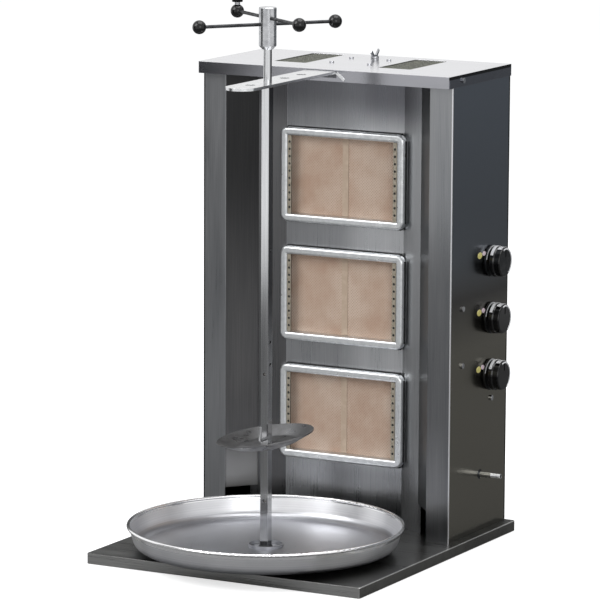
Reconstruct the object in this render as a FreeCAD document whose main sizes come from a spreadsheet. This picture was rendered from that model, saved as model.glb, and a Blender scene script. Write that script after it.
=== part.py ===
import FreeCAD, Part
import math
import os
import Sketcher

# Gas doner kebab grill, in millimetres.
# The origin is where the skewer's axis meets the counter: X to the right, Y to the back, Z up.
# Three gas burners stand in the folded steel body behind the skewer. The body stands on a tray,
# and an arm under the top cover holds the skewer's upper end.

SIZES = {
    # Base tray, folded down all round, on rubber feet
    "tray_width": 438.0,
    "tray_front": 131.0,
    "tray_back": 366.0,
    "tray_top": 16.0,
    "tray_lift": 1.0,
    "tray_sheet": 1.5,
    "tray_corner": 3.0,
    "foot_diameter": 30.0,
    "foot_inset": 34.0,
    "foot_bevel": 1.5,
    "stiffener_middle": 120.0,
    "stiffener_crown": 32.0,
    "stiffener_flange": 16.0,
    "stiffener_depth": 11.0,
    "stiffener_end": 12.0,
    # Body casings, bent from thin sheet
    "body_width": 405.0,
    "body_front": 177.0,
    "body_back": 364.0,
    "sheet": 1.2,
    "flange_width": 36.5,
    "wall_slope": 39.5,
    "wall_length": 51.9,
    "back_return": 16.0,
    "foot_return": 14.0,
    "bay_bottom": 60.0,
    "bay_top": 680.0,
    # Reflector panel between the casings
    "strip_slope": 64.0,
    "strip_length": 42.3,
    "lap_length": 12.0,
    # Back panel and the floor of the burner bay
    "back_inset": 2.5,
    "back_low": 18.0,
    "back_top": 674.0,
    "slot_length": 70.0,
    "slot_height": 5.0,
    "slot_pitch": 14.0,
    "slot_low": 110.0,
    "slot_high": 560.0,
    "slot_side": 95.0,
    "bay_floor": 62.0,
    "bay_floor_lip": 12.0,
    "bay_floor_gap": 3.0,
    # Top cover, a shallow cap with two mesh vents and a cut-out for the arm
    "cover_top": 692.0,
    "cover_fascia": 17.0,
    "cover_overhang": 15.0,
    "cover_play": 0.3,
    "cover_corner": 2.0,
    "vent_width": 52.0,
    "vent_length": 122.0,
    "vent_offset": 85.0,
    "vent_middle": 283.5,
    "mesh_margin": 4.0,
    "mesh_sheet": 0.8,
    "mesh_hole": 5.0,
    "mesh_pitch": 7.5,
    "cutout_play": 0.5,
    "cutout_height": 10.0,
    # Arm, a flat bar that slides in a guide riveted under the cover
    "arm_width": 46.0,
    "arm_thickness": 4.0,
    "arm_tip": 74.0,
    "arm_rear": 352.0,
    "arm_play": 0.3,
    "arm_hole": 14.0,
    "arm_hole_pitch": 50.0,
    "arm_out": 15.0,
    "arm_in": 10.0,
    "guide_sheet": 1.5,
    "guide_flange": 12.0,
    "guide_front": 235.0,
    "guide_back": 347.0,
    "rivet_front": 250.0,
    "rivet_back": 312.0,
    "rivet_shank": 4.0,
    "rivet_head": 7.0,
    "rivet_rise": 1.8,
    "clamp_middle": 327.0,
    "clamp_thread": 6.0,
    "clamp_nut_flats": 10.0,
    "clamp_nut_height": 5.0,
    "clamp_collar": 12.0,
    "clamp_collar_height": 3.0,
    "wing_span": 26.0,
    "wing_height": 10.0,
    "wing_sheet": 2.4,
    # Skewer, square below the arm and round through it
    "bar_side": 12.0,
    "bar_bottom": 26.0,
    "bar_arm_gap": 1.5,
    "skewer_top": 752.0,
    "pivot_diameter": 10.0,
    "pivot_end": 19.0,
    "cross_hole": 5.0,
    "front_hole_low": 91.5,
    "lock_height": 181.0,
    "front_hole_high": 274.5,
    "side_hole_low": 288.0,
    "side_hole_middle": 320.0,
    "side_hole_high": 452.0,
    "stop_height": 168.0,
    "stop_length": 24.0,
    "lock_front": 18.0,
    "lock_back": 12.0,
    "lock_finger": 20.0,
    "running_fit": 0.05,
    "bar_bevel": 1.0,
    # Meat dish, a shallow plate that sits tilted on the stop pin
    "dish_radius": 70.0,
    "dish_flat": 43.0,
    "dish_rise": 12.0,
    "dish_sheet": 2.0,
    "dish_level": 174.3,
    "dish_tilt": 8.5,
    "dish_tilt_azimuth": 28.0,
    "dish_hole_play": 0.6,
    "dish_knee": 14.0,
    # Turning handle: a hub with two rods, four balls and a crank grip
    "hub_diameter": 25.0,
    "hub_bottom": 736.0,
    "hub_top": 795.0,
    "hub_bevel": 5.0,
    "rod_diameter": 5.0,
    "rod_upper": 780.0,
    "rod_lower": 771.0,
    "rod_upper_azimuth": 143.0,
    "rod_lower_azimuth": 54.0,
    "ball_diameter": 19.5,
    "ball_radius": 105.0,
    "ball_socket": 7.0,
    "stem_diameter": 8.0,
    "stem_reach": 70.0,
    "stem_head": 12.0,
    "stem_head_height": 3.0,
    "grip_diameter": 20.0,
    "grip_waist": 15.0,
    "grip_lift": 13.0,
    # Carriage that carries the skewer's pivot and the drip pan
    "carriage_width": 60.0,
    "carriage_half": 110.0,
    "carriage_thickness": 7.4,
    "slide_play": 0.3,
    "runner_width": 6.0,
    "runner_height": 7.0,
    "runner_spare": 4.0,
    "bush_diameter": 20.0,
    "bush_bottom": 17.5,
    # Drip pan, spun with a rolled rim
    "pan_radius": 198.5,
    "pan_foot": 186.0,
    "pan_rim": 58.0,
    "pan_sheet": 1.2,
    "pan_bead": 5.0,
    "pan_knee": 15.0,
    "pan_hole": 48.0,
    "pan_lip": 5.0,
    # Burners: pressed frame, two ceramic plaques and a box behind them
    "burner_middle": 351.0,
    "burner_pitch": 175.5,
    "frame_side": 5.3,
    "frame_height": 139.0,
    "frame_bead": 11.8,
    "frame_depth": 13.0,
    "frame_corner": 12.0,
    "frame_round": 3.6,
    "plaque_cover": 0.6,
    "plaque_height": 132.0,
    "plaque_depth": 13.0,
    "plaque_seam": 0.6,
    "box_play": 0.4,
    "box_sheet": 1.5,
    "box_depth": 34.0,
    "venturi_diameter": 24.0,
    "venturi_bore": 20.0,
    "venturi_end": 60.0,
    "venturi_mouth": 120.0,
    "venturi_neck": 30.0,
    "neck_diameter": 18.0,
    "neck_bore": 14.0,
    "injector_gap": 6.0,
    "injector_length": 14.0,
    "injector_diameter": 12.0,
    # Gas taps behind the right side, with a knob each
    "knob_y": 311.0,
    "knob_middle": 326.2,
    "knob_pitch": 83.6,
    "knob_diameter": 45.0,
    "knob_length": 16.0,
    "knob_gap": 5.8,
    "knob_push": 4.0,
    "knob_face": 43.0,
    "knob_skirt": 5.0,
    "knob_bevel": 2.0,
    "pointer_width": 3.0,
    "pointer_depth": 1.0,
    "bezel_diameter": 46.0,
    "bezel_thickness": 1.5,
    "tap_side": 28.0,
    "tap_start": 160.0,
    "tap_length": 30.0,
    "tap_collar": 20.0,
    "plug_diameter": 14.0,
    "plug_start": 164.0,
    "plug_inset": 2.0,
    "stem_square": 4.4,
    "stem_square_play": 0.1,
    "tap_stem": 6.0,
    "tap_stem_start": 173.0,
    "tap_stem_grip": 13.0,
    # Gas rail, pipes and inlet
    "rail_diameter": 16.0,
    "rail_bore": 12.0,
    "rail_y": 340.0,
    "rail_top": 430.0,
    "rail_branch": 10.0,
    "pipe_diameter": 6.0,
    "pipe_x": 150.0,
    "inlet_y": 278.0,
    "inlet_z": 100.0,
    "inlet_diameter": 14.0,
    "inlet_start": 190.0,
    "inlet_nut_corner": 13.0,
    "inlet_nut_height": 5.0,
    "inlet_bore": 8.0,
    "nozzle_diameter": 8.5,
    "nozzle_length": 34.0,
    "nozzle_bore": 4.5,
    "nozzle_barb": 0.8,
    "nozzle_plain": 19.0,
    "nozzle_grip": 10.0,
    # Panel screws
    "screw_shank": 4.0,
    "screw_head": 8.0,
    "screw_rise": 2.4,
    "screw_reach": 7.0,
    "cover_screw_y": 205.0,
    "cover_screw_z": 684.0,
    "side_screw_front": 214.5,
    "side_screw_high": 353.0,
    "side_screw_low": 270.0,
    "side_screw_back": 312.0,
    "side_screw_bottom": 207.5,
    "back_screw_edge": 8.0,
    "back_screw_low": 40.0,
    "back_screw_high": 652.0,
}


class Size:
    """A length or angle with its number and the sheet formula that it comes from."""

    def __init__(self, number, formula):
        self.number = float(number)
        self.formula = formula

    def __add__(self, other):
        other = as_size(other)
        return Size(self.number + other.number, f"({self.formula} + {other.formula})")

    def __sub__(self, other):
        other = as_size(other)
        return Size(self.number - other.number, f"({self.formula} - {other.formula})")

    def __mul__(self, other):
        other = as_size(other)
        return Size(self.number * other.number, f"({self.formula} * {other.formula})")

    def __truediv__(self, other):
        other = as_size(other)
        return Size(self.number / other.number, f"({self.formula} / {other.formula})")

    def __neg__(self):
        return Size(-self.number, f"(0 - {self.formula})")

    def __rsub__(self, other):
        return as_size(other) - self

    __radd__ = __add__
    __rmul__ = __mul__


def as_size(value):
    """The value itself if it is a Size, otherwise a Size that holds a plain number."""
    return value if isinstance(value, Size) else Size(value, repr(float(value)))


def larger(first, second):
    first = as_size(first)
    second = as_size(second)
    return Size(max(first.number, second.number), f"max({first.formula}; {second.formula})")


def smaller(first, second):
    first = as_size(first)
    second = as_size(second)
    return Size(min(first.number, second.number), f"min({first.formula}; {second.formula})")


def sine(angle):
    angle = as_size(angle)
    return Size(math.sin(math.radians(angle.number)), f"sin({angle.formula} * 1 deg)")


def cosine(angle):
    angle = as_size(angle)
    return Size(math.cos(math.radians(angle.number)), f"cos({angle.formula} * 1 deg)")


class Sheet:
    """The document's spreadsheet: each of its sizes is read by name."""

    def __init__(self, doc, sizes):
        self.cells = doc.addObject("Spreadsheet::Sheet", "sizes")
        for row, (alias, number) in enumerate(sizes.items(), start=1):
            self.cells.set(f"A{row}", alias)
            self.cells.set(f"B{row}", str(number))
            self.cells.setAlias(f"B{row}", alias)
        doc.recompute()

    def __getattr__(self, alias):
        return Size(self.cells.get(alias), f"sizes.{alias}")


doc = FreeCAD.newDocument("doner_grill")
s = Sheet(doc, SIZES)
nodes = {}

# Places that several pieces share
half_width = s.body_width / 2
side_inner = half_width - s.sheet
tray_under = s.tray_top - s.tray_sheet
cover_under = s.cover_top - s.sheet
cover_half = half_width + s.cover_play + s.sheet
cover_front = s.body_front - s.cover_overhang
cover_back = s.body_back + s.cover_play + s.sheet
arm_top = cover_under - s.arm_play
arm_bottom = arm_top - s.arm_thickness
guide_floor = arm_bottom - s.arm_play
wall_end_x = half_width - s.flange_width - s.wall_length * sine(s.wall_slope)
wall_end_y = s.body_front + s.wall_length * cosine(s.wall_slope)
panel_x = wall_end_x + s.sheet * cosine(s.wall_slope) - s.strip_length * sine(s.strip_slope)
panel_front = wall_end_y + s.sheet * sine(s.wall_slope) + s.strip_length * cosine(s.strip_slope)
panel_back = panel_front + s.sheet
frame_half = panel_x + s.frame_side
plaque_width = frame_half - s.frame_bead + s.plaque_cover - s.plaque_seam / 2
burner_heights = [s.burner_middle + s.burner_pitch * step for step in (1, 0, -1)]
knob_heights = [s.knob_middle + s.knob_pitch * step for step in (1, 0, -1)]
box_back = panel_back + s.box_depth
venturi_y = box_back + s.venturi_diameter / 2
carriage_bottom = s.tray_top + s.slide_play
carriage_top = carriage_bottom + s.carriage_thickness
pan_bottom = carriage_top + s.slide_play
bush_top = s.bar_bottom - s.slide_play
stem_top = s.rod_upper + s.stem_reach
grip_bottom = s.rod_upper + s.grip_lift
tap_end = s.tap_start + s.tap_length
rail_x = s.tap_start + s.tap_length / 2
knob_base = half_width + s.knob_gap
knob_end = knob_base + s.knob_length

ROLES = {"XY": "XY_Plane", "XZ": "XZ_Plane", "YZ": "YZ_Plane"}
AXIS_TURNS = {
    "X": FreeCAD.Rotation(FreeCAD.Vector(0, 1, 0), 90),
    "Y": FreeCAD.Rotation(FreeCAD.Vector(1, 0, 0), -90),
    "Z": FreeCAD.Rotation(),
}


def move(obj, at):
    """Bind the object's place to its three sizes."""
    for letter, value in zip("xyz", at):
        obj.setExpression(f"Placement.Base.{letter}", as_size(value).formula)


def rectangle(x_low, y_low, x_high, y_high):
    return [(x_low, y_low), (x_high, y_low), (x_high, y_high), (x_low, y_high)]


def mirrored(points):
    return [(-x, y) for x, y in points]


def folded(start, runs, thickness):
    """Outline of a folded sheet. Its outer face follows the runs, and the sheet lies to their right."""
    outer = [start]
    for heading, length in runs:
        x, y = outer[-1]
        outer.append((x + length * cosine(heading), y + length * sine(heading)))
    headings = [as_size(heading) for heading, length in runs]
    inner = []
    for index, (x, y) in enumerate(outer):
        before = headings[max(index - 1, 0)]
        after = headings[min(index, len(headings) - 1)]
        middle = (before + after) / 2
        reach = thickness / cosine((after - before) / 2)
        inner.append((x + reach * sine(middle), y - reach * cosine(middle)))
    return outer + inner[::-1]


class Ring:
    """A circle in a sketch."""

    def __init__(self, x, y, diameter):
        self.x = as_size(x)
        self.y = as_size(y)
        self.radius = as_size(diameter) / 2


def constrain(sketch, kind, geometry, point, value):
    value = as_size(value)
    index = sketch.addConstraint(Sketcher.Constraint(kind, -1, 1, geometry, point, value.number))
    sketch.setExpression(f"Constraints[{index}]", value.formula)


def draw_ring(sketch, ring):
    centre = FreeCAD.Vector(ring.x.number, ring.y.number, 0)
    circle = Part.Circle(centre, FreeCAD.Vector(0, 0, 1), ring.radius.number)
    geometry = sketch.addGeometry(circle, False)
    constrain(sketch, "DistanceX", geometry, 3, ring.x)
    constrain(sketch, "DistanceY", geometry, 3, ring.y)
    index = sketch.addConstraint(Sketcher.Constraint("Radius", geometry, ring.radius.number))
    sketch.setExpression(f"Constraints[{index}]", ring.radius.formula)


def draw_polygon(sketch, points):
    points = [(as_size(x), as_size(y)) for x, y in points]
    corners = [FreeCAD.Vector(x.number, y.number, 0) for x, y in points]
    first = len(sketch.Geometry)
    count = len(corners)
    for index in range(count):
        line = Part.LineSegment(corners[index], corners[(index + 1) % count])
        sketch.addGeometry(line, False)
    for index in range(count):
        following = first + (index + 1) % count
        sketch.addConstraint(Sketcher.Constraint("Coincident", first + index, 2, following, 1))
    for index, (x, y) in enumerate(points):
        constrain(sketch, "DistanceX", first + index, 1, x)
        constrain(sketch, "DistanceY", first + index, 1, y)


class Piece:
    """One sub-part made of sketches and the features that use them."""

    def __init__(self, label, at=(0, 0, 0)):
        self.body = doc.addObject("PartDesign::Body", label)
        self.body.Label = label
        self.label = label
        self.count = 0
        move(self.body, at)
        nodes[label] = self.body

    def sketch(self, plane, offset, loops):
        """A sketch of closed loops on an origin plane, moved along the plane's normal."""
        self.count += 1
        sketch = self.body.newObject("Sketcher::SketchObject", f"{self.label}_sketch_{self.count}")
        support = next(f for f in self.body.Origin.OriginFeatures if f.Role == ROLES[plane])
        sketch.AttachmentSupport = (support, [""])
        sketch.MapMode = "FlatFace"
        sketch.setExpression("AttachmentOffset.Base.z", as_size(offset).formula)
        for loop in loops:
            if isinstance(loop, Ring):
                draw_ring(sketch, loop)
            else:
                draw_polygon(sketch, loop)
        return sketch

    def feature(self, kind, sketch):
        feature = self.body.newObject(f"PartDesign::{kind}", f"{self.label}_{kind}_{self.count}")
        feature.Profile = sketch
        sketch.Visibility = False
        return feature

    def pad(self, plane, low, high, *loops):
        """Material between two levels along the plane's axis. The XZ plane's normal is -Y."""
        offset = -as_size(high) if plane == "XZ" else low
        pad = self.feature("Pad", self.sketch(plane, offset, loops))
        pad.setExpression("Length", (as_size(high) - low).formula)
        return self

    def pocket(self, plane, low, high, *loops):
        """A cut between two levels. It runs against the plane's normal."""
        offset = -as_size(low) if plane == "XZ" else high
        pocket = self.feature("Pocket", self.sketch(plane, offset, loops))
        pocket.setExpression("Length", (as_size(high) - low).formula)
        return self

    def turn(self, plane, axis, *loops):
        """A body of revolution about an axis of its sketch."""
        revolution = self.feature("Revolution", self.sketch(plane, 0, loops))
        revolution.ReferenceAxis = (revolution.Profile[0], [axis])
        revolution.Angle = 360
        return self

    def edge_feature(self, kind, size_name, size, choose):
        doc.recompute()
        base = self.body.Tip
        names = [f"Edge{i}" for i, edge in enumerate(base.Shape.Edges, start=1) if choose(edge)]
        if not names:
            raise ValueError(f"{self.label}: no edge chosen for {kind}")
        feature = self.body.newObject(f"PartDesign::{kind}", f"{self.label}_{kind}")
        feature.Base = (base, names)
        feature.setExpression(size_name, as_size(size).formula)
        return self

    def fillet(self, radius, choose):
        return self.edge_feature("Fillet", "Radius", radius, choose)

    def chamfer(self, size, choose):
        return self.edge_feature("Chamfer", "Size", size, choose)


def runs_along(edge, axis):
    """Whether a straight edge lies along X, Y or Z."""
    if edge.Curve.TypeId != "Part::GeomLine":
        return False
    direction = edge.Curve.Direction
    return abs(abs(getattr(direction, axis.lower())) - 1) < 1e-6


def lies_at(edge, axis, value):
    """Whether the whole edge lies at one level along X, Y or Z."""
    letter = axis.lower()
    level = as_size(value).number
    points = [vertex.Point for vertex in edge.Vertexes]
    return all(abs(getattr(point, letter) - level) < 1e-4 for point in points)


def box(name, low, high):
    """A block between two opposite corners."""
    obj = doc.addObject("Part::Box", name)
    for side, bottom, top in zip(("Length", "Width", "Height"), low, high):
        obj.setExpression(side, (as_size(top) - bottom).formula)
    move(obj, low)
    return obj


def rod(name, axis, start, diameter, length):
    """A cylinder from its start point along X, Y or Z."""
    obj = doc.addObject("Part::Cylinder", name)
    obj.setExpression("Radius", (as_size(diameter) / 2).formula)
    obj.setExpression("Height", as_size(length).formula)
    obj.Placement.Rotation = AXIS_TURNS[axis]
    move(obj, start)
    return obj


def ball(name, at, diameter):
    obj = doc.addObject("Part::Sphere", name)
    obj.setExpression("Radius", (as_size(diameter) / 2).formula)
    move(obj, at)
    return obj


def prism(name, axis, start, corner_radius, length):
    """A hexagonal block along an axis."""
    obj = doc.addObject("Part::Prism", name)
    obj.Polygon = 6
    obj.setExpression("Circumradius", as_size(corner_radius).formula)
    obj.setExpression("Height", as_size(length).formula)
    obj.Placement.Rotation = AXIS_TURNS[axis]
    move(obj, start)
    return obj


def fuse(name, *members):
    obj = doc.addObject("Part::MultiFuse", name)
    obj.Shapes = list(members)
    return obj


def cut(name, base, *tools):
    obj = doc.addObject("Part::Cut", name)
    obj.Base = base
    obj.Tool = tools[0] if len(tools) == 1 else fuse(f"{name}_tools", *tools)
    return obj


def node(label, obj):
    """Give a finished sub-part its label and keep it for writing."""
    obj.Label = label
    nodes[label] = obj
    return obj


def group(label, members):
    """Identical pieces kept as separate solids of one sub-part."""
    obj = doc.addObject("Part::Compound", label)
    obj.Links = list(members)
    return node(label, obj)


def pipe_run(name, points, diameter):
    """A pipe along straight runs parallel to the axes, with round elbows."""
    members = []
    for index, (start, end) in enumerate(zip(points, points[1:])):
        spans = [as_size(b) - a for a, b in zip(start, end)]
        axis_index = max(range(3), key=lambda i: abs(spans[i].number))
        span = spans[axis_index]
        low = start if span.number > 0 else end
        length = span if span.number > 0 else -span
        members.append(rod(f"{name}_run_{index}", "XYZ"[axis_index], low, diameter, length))
    for index, corner in enumerate(points[1:-1]):
        members.append(ball(f"{name}_elbow_{index}", corner, diameter))
    return fuse(name, *members)


def screw(name, axis, outward, at, grip=0):
    """A pan-head screw. Its head stands on the face at the point, and its shank goes inward."""
    step = "XYZ".index(axis)
    head_start = list(at)
    shank_start = list(at)
    reach = s.screw_reach + grip
    if outward < 0:
        head_start[step] = at[step] - s.screw_rise
    else:
        shank_start[step] = at[step] - reach
    head = rod(f"{name}_head", axis, head_start, s.screw_head, s.screw_rise)
    shank = rod(f"{name}_shank", axis, shank_start, s.screw_shank, reach)
    return fuse(name, head, shank)


# Base

def base_tray():
    half = s.tray_width / 2
    front = -s.tray_front
    edge = s.tray_sheet
    tray = Piece("base_tray")
    tray.pad("XY", s.tray_lift, s.tray_top, rectangle(-half, front, half, s.tray_back))
    tray.fillet(s.tray_corner, lambda e: runs_along(e, "Z"))
    hollow = rectangle(-half + edge, front + edge, half - edge, s.tray_back - edge)
    tray.pocket("XY", s.tray_lift, tray_under, hollow)


def base_stiffener():
    """A hat section that runs across under the tray."""
    start = (s.stiffener_middle - s.stiffener_crown / 2 - s.stiffener_flange, tray_under)
    runs = [
        (0, s.stiffener_flange),
        (-90, s.stiffener_depth),
        (0, s.stiffener_crown),
        (90, s.stiffener_depth),
        (0, s.stiffener_flange),
    ]
    reach = s.tray_width / 2 - s.stiffener_end
    Piece("base_stiffener").pad("YZ", -reach, reach, folded(start, runs, s.sheet))


def rubber_feet():
    x = s.tray_width / 2 - s.foot_inset
    front = s.foot_inset - s.tray_front
    back = s.tray_back - s.foot_inset
    places = [(x, front), (-x, front), (x, back), (-x, back), (0, 0)]
    members = []
    for index, (at_x, at_y) in enumerate(places):
        pad = rod(f"foot_pad_{index}", "Z", (at_x, at_y, s.foot_bevel), s.foot_diameter,
                  tray_under - s.foot_bevel)
        sole = rod(f"foot_sole_{index}", "Z", (at_x, at_y, 0), s.foot_diameter - 2 * s.foot_bevel,
                   s.foot_bevel)
        members.append(fuse(f"foot_{index}", pad, sole))
    group("rubber_feet", members)


def pan_guides():
    """Two runners on the tray, with the carriage between them."""
    inner = s.carriage_width / 2 + s.slide_play
    outer = inner + s.runner_width
    front = -(s.carriage_half + s.arm_out + s.runner_spare)
    back = s.carriage_half + s.arm_in + s.runner_spare
    top = s.tray_top + s.runner_height
    right = box("guide_right", (inner, front, s.tray_top), (outer, back, top))
    left = box("guide_left", (-outer, front, s.tray_top), (-inner, back, top))
    group("pan_guides", [right, left])


# Body

def side_screw_places():
    """Height and depth of the screws in each side of the body."""
    return [
        (s.side_screw_front, s.side_screw_high),
        (s.side_screw_front, s.side_screw_low),
        (s.side_screw_back, s.side_screw_bottom),
    ]


def casing_outline(facing):
    """The flat front flange, the side and the return at the back, seen from above."""
    start = (half_width - s.back_return, s.body_back)
    depth = s.body_back - s.body_front
    runs = [(0, s.back_return), (-90, depth), (-180, s.flange_width)]
    outline = folded(start, runs, s.sheet)
    return outline if facing > 0 else mirrored(outline)


def wall_outline(facing):
    """The flange again with the wall that slants back from its inner edge."""
    start = (half_width, s.body_front)
    runs = [(-180, s.flange_width), (s.wall_slope - 270, s.wall_length)]
    outline = folded(start, runs, s.sheet)
    return outline if facing > 0 else mirrored(outline)


def casing(label, facing):
    piece = Piece(label)
    piece.pad("XY", s.tray_top, cover_under, casing_outline(facing))
    piece.pad("XY", s.bay_bottom, s.bay_top, wall_outline(facing))
    foot = rectangle(side_inner - s.foot_return, s.body_front + s.sheet,
                     side_inner, s.body_back - s.sheet)
    foot = foot if facing > 0 else mirrored(foot)
    piece.pad("XY", s.tray_top, s.tray_top + s.sheet, foot)
    screws = [Ring(y, z, s.screw_shank) for y, z in side_screw_places()]
    screws.append(Ring(s.cover_screw_y, s.cover_screw_z, s.screw_shank))
    low = side_inner if facing > 0 else -half_width
    high = half_width if facing > 0 else -side_inner
    piece.pocket("YZ", low, high, *screws)
    back = [Ring(facing * (half_width - s.back_screw_edge), z, s.screw_shank)
            for z in (s.back_screw_low, s.back_screw_high)]
    piece.pocket("XZ", s.body_back - s.sheet, s.body_back, *back)
    return piece


def casing_left():
    casing("casing_left", -1)


def casing_right():
    """The right casing has the holes for the three taps and the gas inlet."""
    piece = casing("casing_right", 1)
    taps = [Ring(s.knob_y, height, s.plug_diameter) for height in knob_heights]
    inlet = Ring(s.inlet_y, s.inlet_z, s.inlet_diameter + 2 * s.cover_play)
    piece.pocket("YZ", side_inner, half_width, *taps, inlet)


def reflector_panel():
    """Bent panel behind the skewer, lapped behind both casing walls, with three burner windows."""
    back_x = s.sheet * cosine(s.wall_slope) + s.lap_length * sine(s.wall_slope)
    back_y = s.sheet * sine(s.wall_slope) - s.lap_length * cosine(s.wall_slope)
    start = (wall_end_x + back_x, wall_end_y + back_y)
    runs = [
        (s.wall_slope - 270, s.lap_length),
        (s.strip_slope - 270, s.strip_length),
        (-180, 2 * panel_x),
        (-90 - s.strip_slope, s.strip_length),
        (-90 - s.wall_slope, s.lap_length),
    ]
    panel = Piece("reflector_panel")
    panel.pad("XY", s.bay_bottom, s.bay_top, folded(start, runs, s.sheet))
    half = frame_half - s.frame_bead
    rise = s.frame_height / 2 - s.frame_bead
    windows = [rectangle(-half, z - rise, half, z + rise) for z in burner_heights]
    panel.pocket("XZ", panel_front, panel_back, *windows)


def back_panel():
    half = half_width - s.back_inset
    panel = Piece("back_panel")
    panel.pad("XZ", s.body_back, s.body_back + s.sheet,
              rectangle(-half, s.back_low, half, s.back_top))
    slots = []
    for low in (s.slot_low, s.slot_high):
        for side in (-s.slot_side, s.slot_side):
            for step in range(5):
                z = low + s.slot_pitch * step
                slots.append(rectangle(side - s.slot_length / 2, z,
                                       side + s.slot_length / 2, z + s.slot_height))
    panel.pocket("XZ", s.body_back, s.body_back + s.sheet, *slots)
    edge = half_width - s.back_screw_edge
    screws = [Ring(x, z, s.screw_shank)
              for x in (-edge, edge) for z in (s.back_screw_low, s.back_screw_high)]
    panel.pocket("XZ", s.body_back, s.body_back + s.sheet, *screws)


def burner_bay_floor():
    """Shelf under the burners, bent down at both sides where it is fixed to the casings."""
    start = (-side_inner, s.bay_floor - s.bay_floor_lip)
    runs = [(90, s.bay_floor_lip), (0, 2 * side_inner), (-90, s.bay_floor_lip)]
    floor = Piece("burner_bay_floor")
    floor.pad("XZ", panel_back + s.bay_floor_gap, s.body_back - s.sheet,
              folded(start, runs, s.sheet))


def casing_screws():
    members = []
    for facing in (-1, 1):
        for index, (y, z) in enumerate(side_screw_places()):
            name = f"casing_screw_{facing + 1}_{index}"
            members.append(screw(name, "X", facing, (facing * half_width, y, z)))
    group("casing_screws", members)


def back_screws():
    edge = half_width - s.back_screw_edge
    members = []
    for x in (-edge, edge):
        for z in (s.back_screw_low, s.back_screw_high):
            name = f"back_screw_{len(members)}"
            members.append(screw(name, "Y", 1, (x, s.body_back + s.sheet, z)))
    group("back_screws", members)


# Top cover

def top_cover():
    cover = Piece("top_cover")
    bottom = s.cover_top - s.cover_fascia
    cover.pad("XY", bottom, s.cover_top,
              rectangle(-cover_half, cover_front, cover_half, cover_back))
    cover.fillet(s.cover_corner, lambda e: runs_along(e, "Z"))
    cover.pocket("XY", bottom, cover_under,
                 rectangle(s.sheet - cover_half, cover_front + s.sheet,
                           cover_half - s.sheet, cover_back - s.sheet))
    for side in (-1, 1):
        cover.pocket("XY", cover_under, s.cover_top, vent_opening(side, 0))
    rivets = [Ring(x, y, s.rivet_shank) for x, y in rivet_places()]
    clamp = Ring(0, s.clamp_middle, s.clamp_thread + 2 * s.cutout_play)
    cover.pocket("XY", cover_under, s.cover_top, *rivets, clamp)
    half = s.arm_width / 2 + s.cutout_play
    cover.pocket("XZ", cover_front, cover_front + s.sheet,
                 rectangle(-half, cover_under - s.cutout_height, half, cover_under))
    hole = Ring(s.cover_screw_y, s.cover_screw_z, s.screw_shank)
    cover.pocket("YZ", cover_half - s.sheet, cover_half, hole)
    cover.pocket("YZ", -cover_half, s.sheet - cover_half, hole)


def vent_opening(side, margin):
    """Outline of a vent in the cover, widened by a margin."""
    middle = side * s.vent_offset
    half = s.vent_width / 2 + margin
    reach = s.vent_length / 2 + margin
    return rectangle(middle - half, s.vent_middle - reach, middle + half, s.vent_middle + reach)


def vent_meshes():
    """A perforated sheet under each vent: a plate with rows of square holes."""
    solids = []
    pitch = s.mesh_pitch.number
    hole = s.mesh_hole.number
    low_z = (cover_under - s.mesh_sheet).number
    columns = int((s.vent_width.number + pitch - hole) // pitch)
    rows = int((s.vent_length.number + pitch - hole) // pitch)
    for side in (-1, 1):
        corners = [(x.number, y.number) for x, y in vent_opening(side, s.mesh_margin)]
        face = Part.Face(polygon_wire(corners, low_z))
        middle = side * s.vent_offset.number
        left = middle - (columns * pitch - pitch + hole) / 2
        front = s.vent_middle.number - (rows * pitch - pitch + hole) / 2
        holes = []
        for column in range(columns):
            for row in range(rows):
                x = left + column * pitch
                y = front + row * pitch
                holes.append(Part.Face(polygon_wire(rectangle(x, y, x + hole, y + hole), low_z)))
        plate = face.cut(Part.makeCompound(holes))
        solids += plate.extrude(FreeCAD.Vector(0, 0, s.mesh_sheet.number)).Solids
    obj = doc.addObject("Part::Feature", "vent_meshes")
    obj.Shape = Part.makeCompound(solids)
    node("vent_meshes", obj)


def polygon_wire(corners, level):
    points = [FreeCAD.Vector(x, y, level) for x, y in corners]
    return Part.makePolygon(points + points[:1])


def cover_screws():
    members = []
    for facing in (-1, 1):
        at = (facing * cover_half, s.cover_screw_y, s.cover_screw_z)
        members.append(screw(f"cover_screw_{facing + 1}", "X", facing, at, s.cover_play))
    group("cover_screws", members)


# Arm and its guide

def rivet_places():
    x = s.arm_width / 2 + s.arm_play + s.guide_sheet + s.guide_flange / 2
    return [(side * x, y) for side in (-1, 1) for y in (s.rivet_front, s.rivet_back)]


def arm_guide():
    """A channel under the cover, open above, with a flange along each side."""
    inner = s.arm_width / 2 + s.arm_play
    outer = inner + s.guide_sheet
    edge = outer + s.guide_flange
    lip = cover_under - s.guide_sheet
    under = guide_floor - s.guide_sheet
    outline = [
        (-edge, cover_under), (-inner, cover_under), (-inner, guide_floor),
        (inner, guide_floor), (inner, cover_under), (edge, cover_under),
        (edge, lip), (outer, lip), (outer, under),
        (-outer, under), (-outer, lip), (-edge, lip),
    ]
    guide = Piece("arm_guide")
    guide.pad("XZ", s.guide_front, s.guide_back, outline)
    rivets = [Ring(x, y, s.rivet_shank) for x, y in rivet_places()]
    guide.pocket("XY", lip, cover_under, *rivets)
    clamp = Ring(0, s.clamp_middle, s.clamp_thread + 2 * s.cutout_play)
    guide.pocket("XY", under, guide_floor, clamp)


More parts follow.
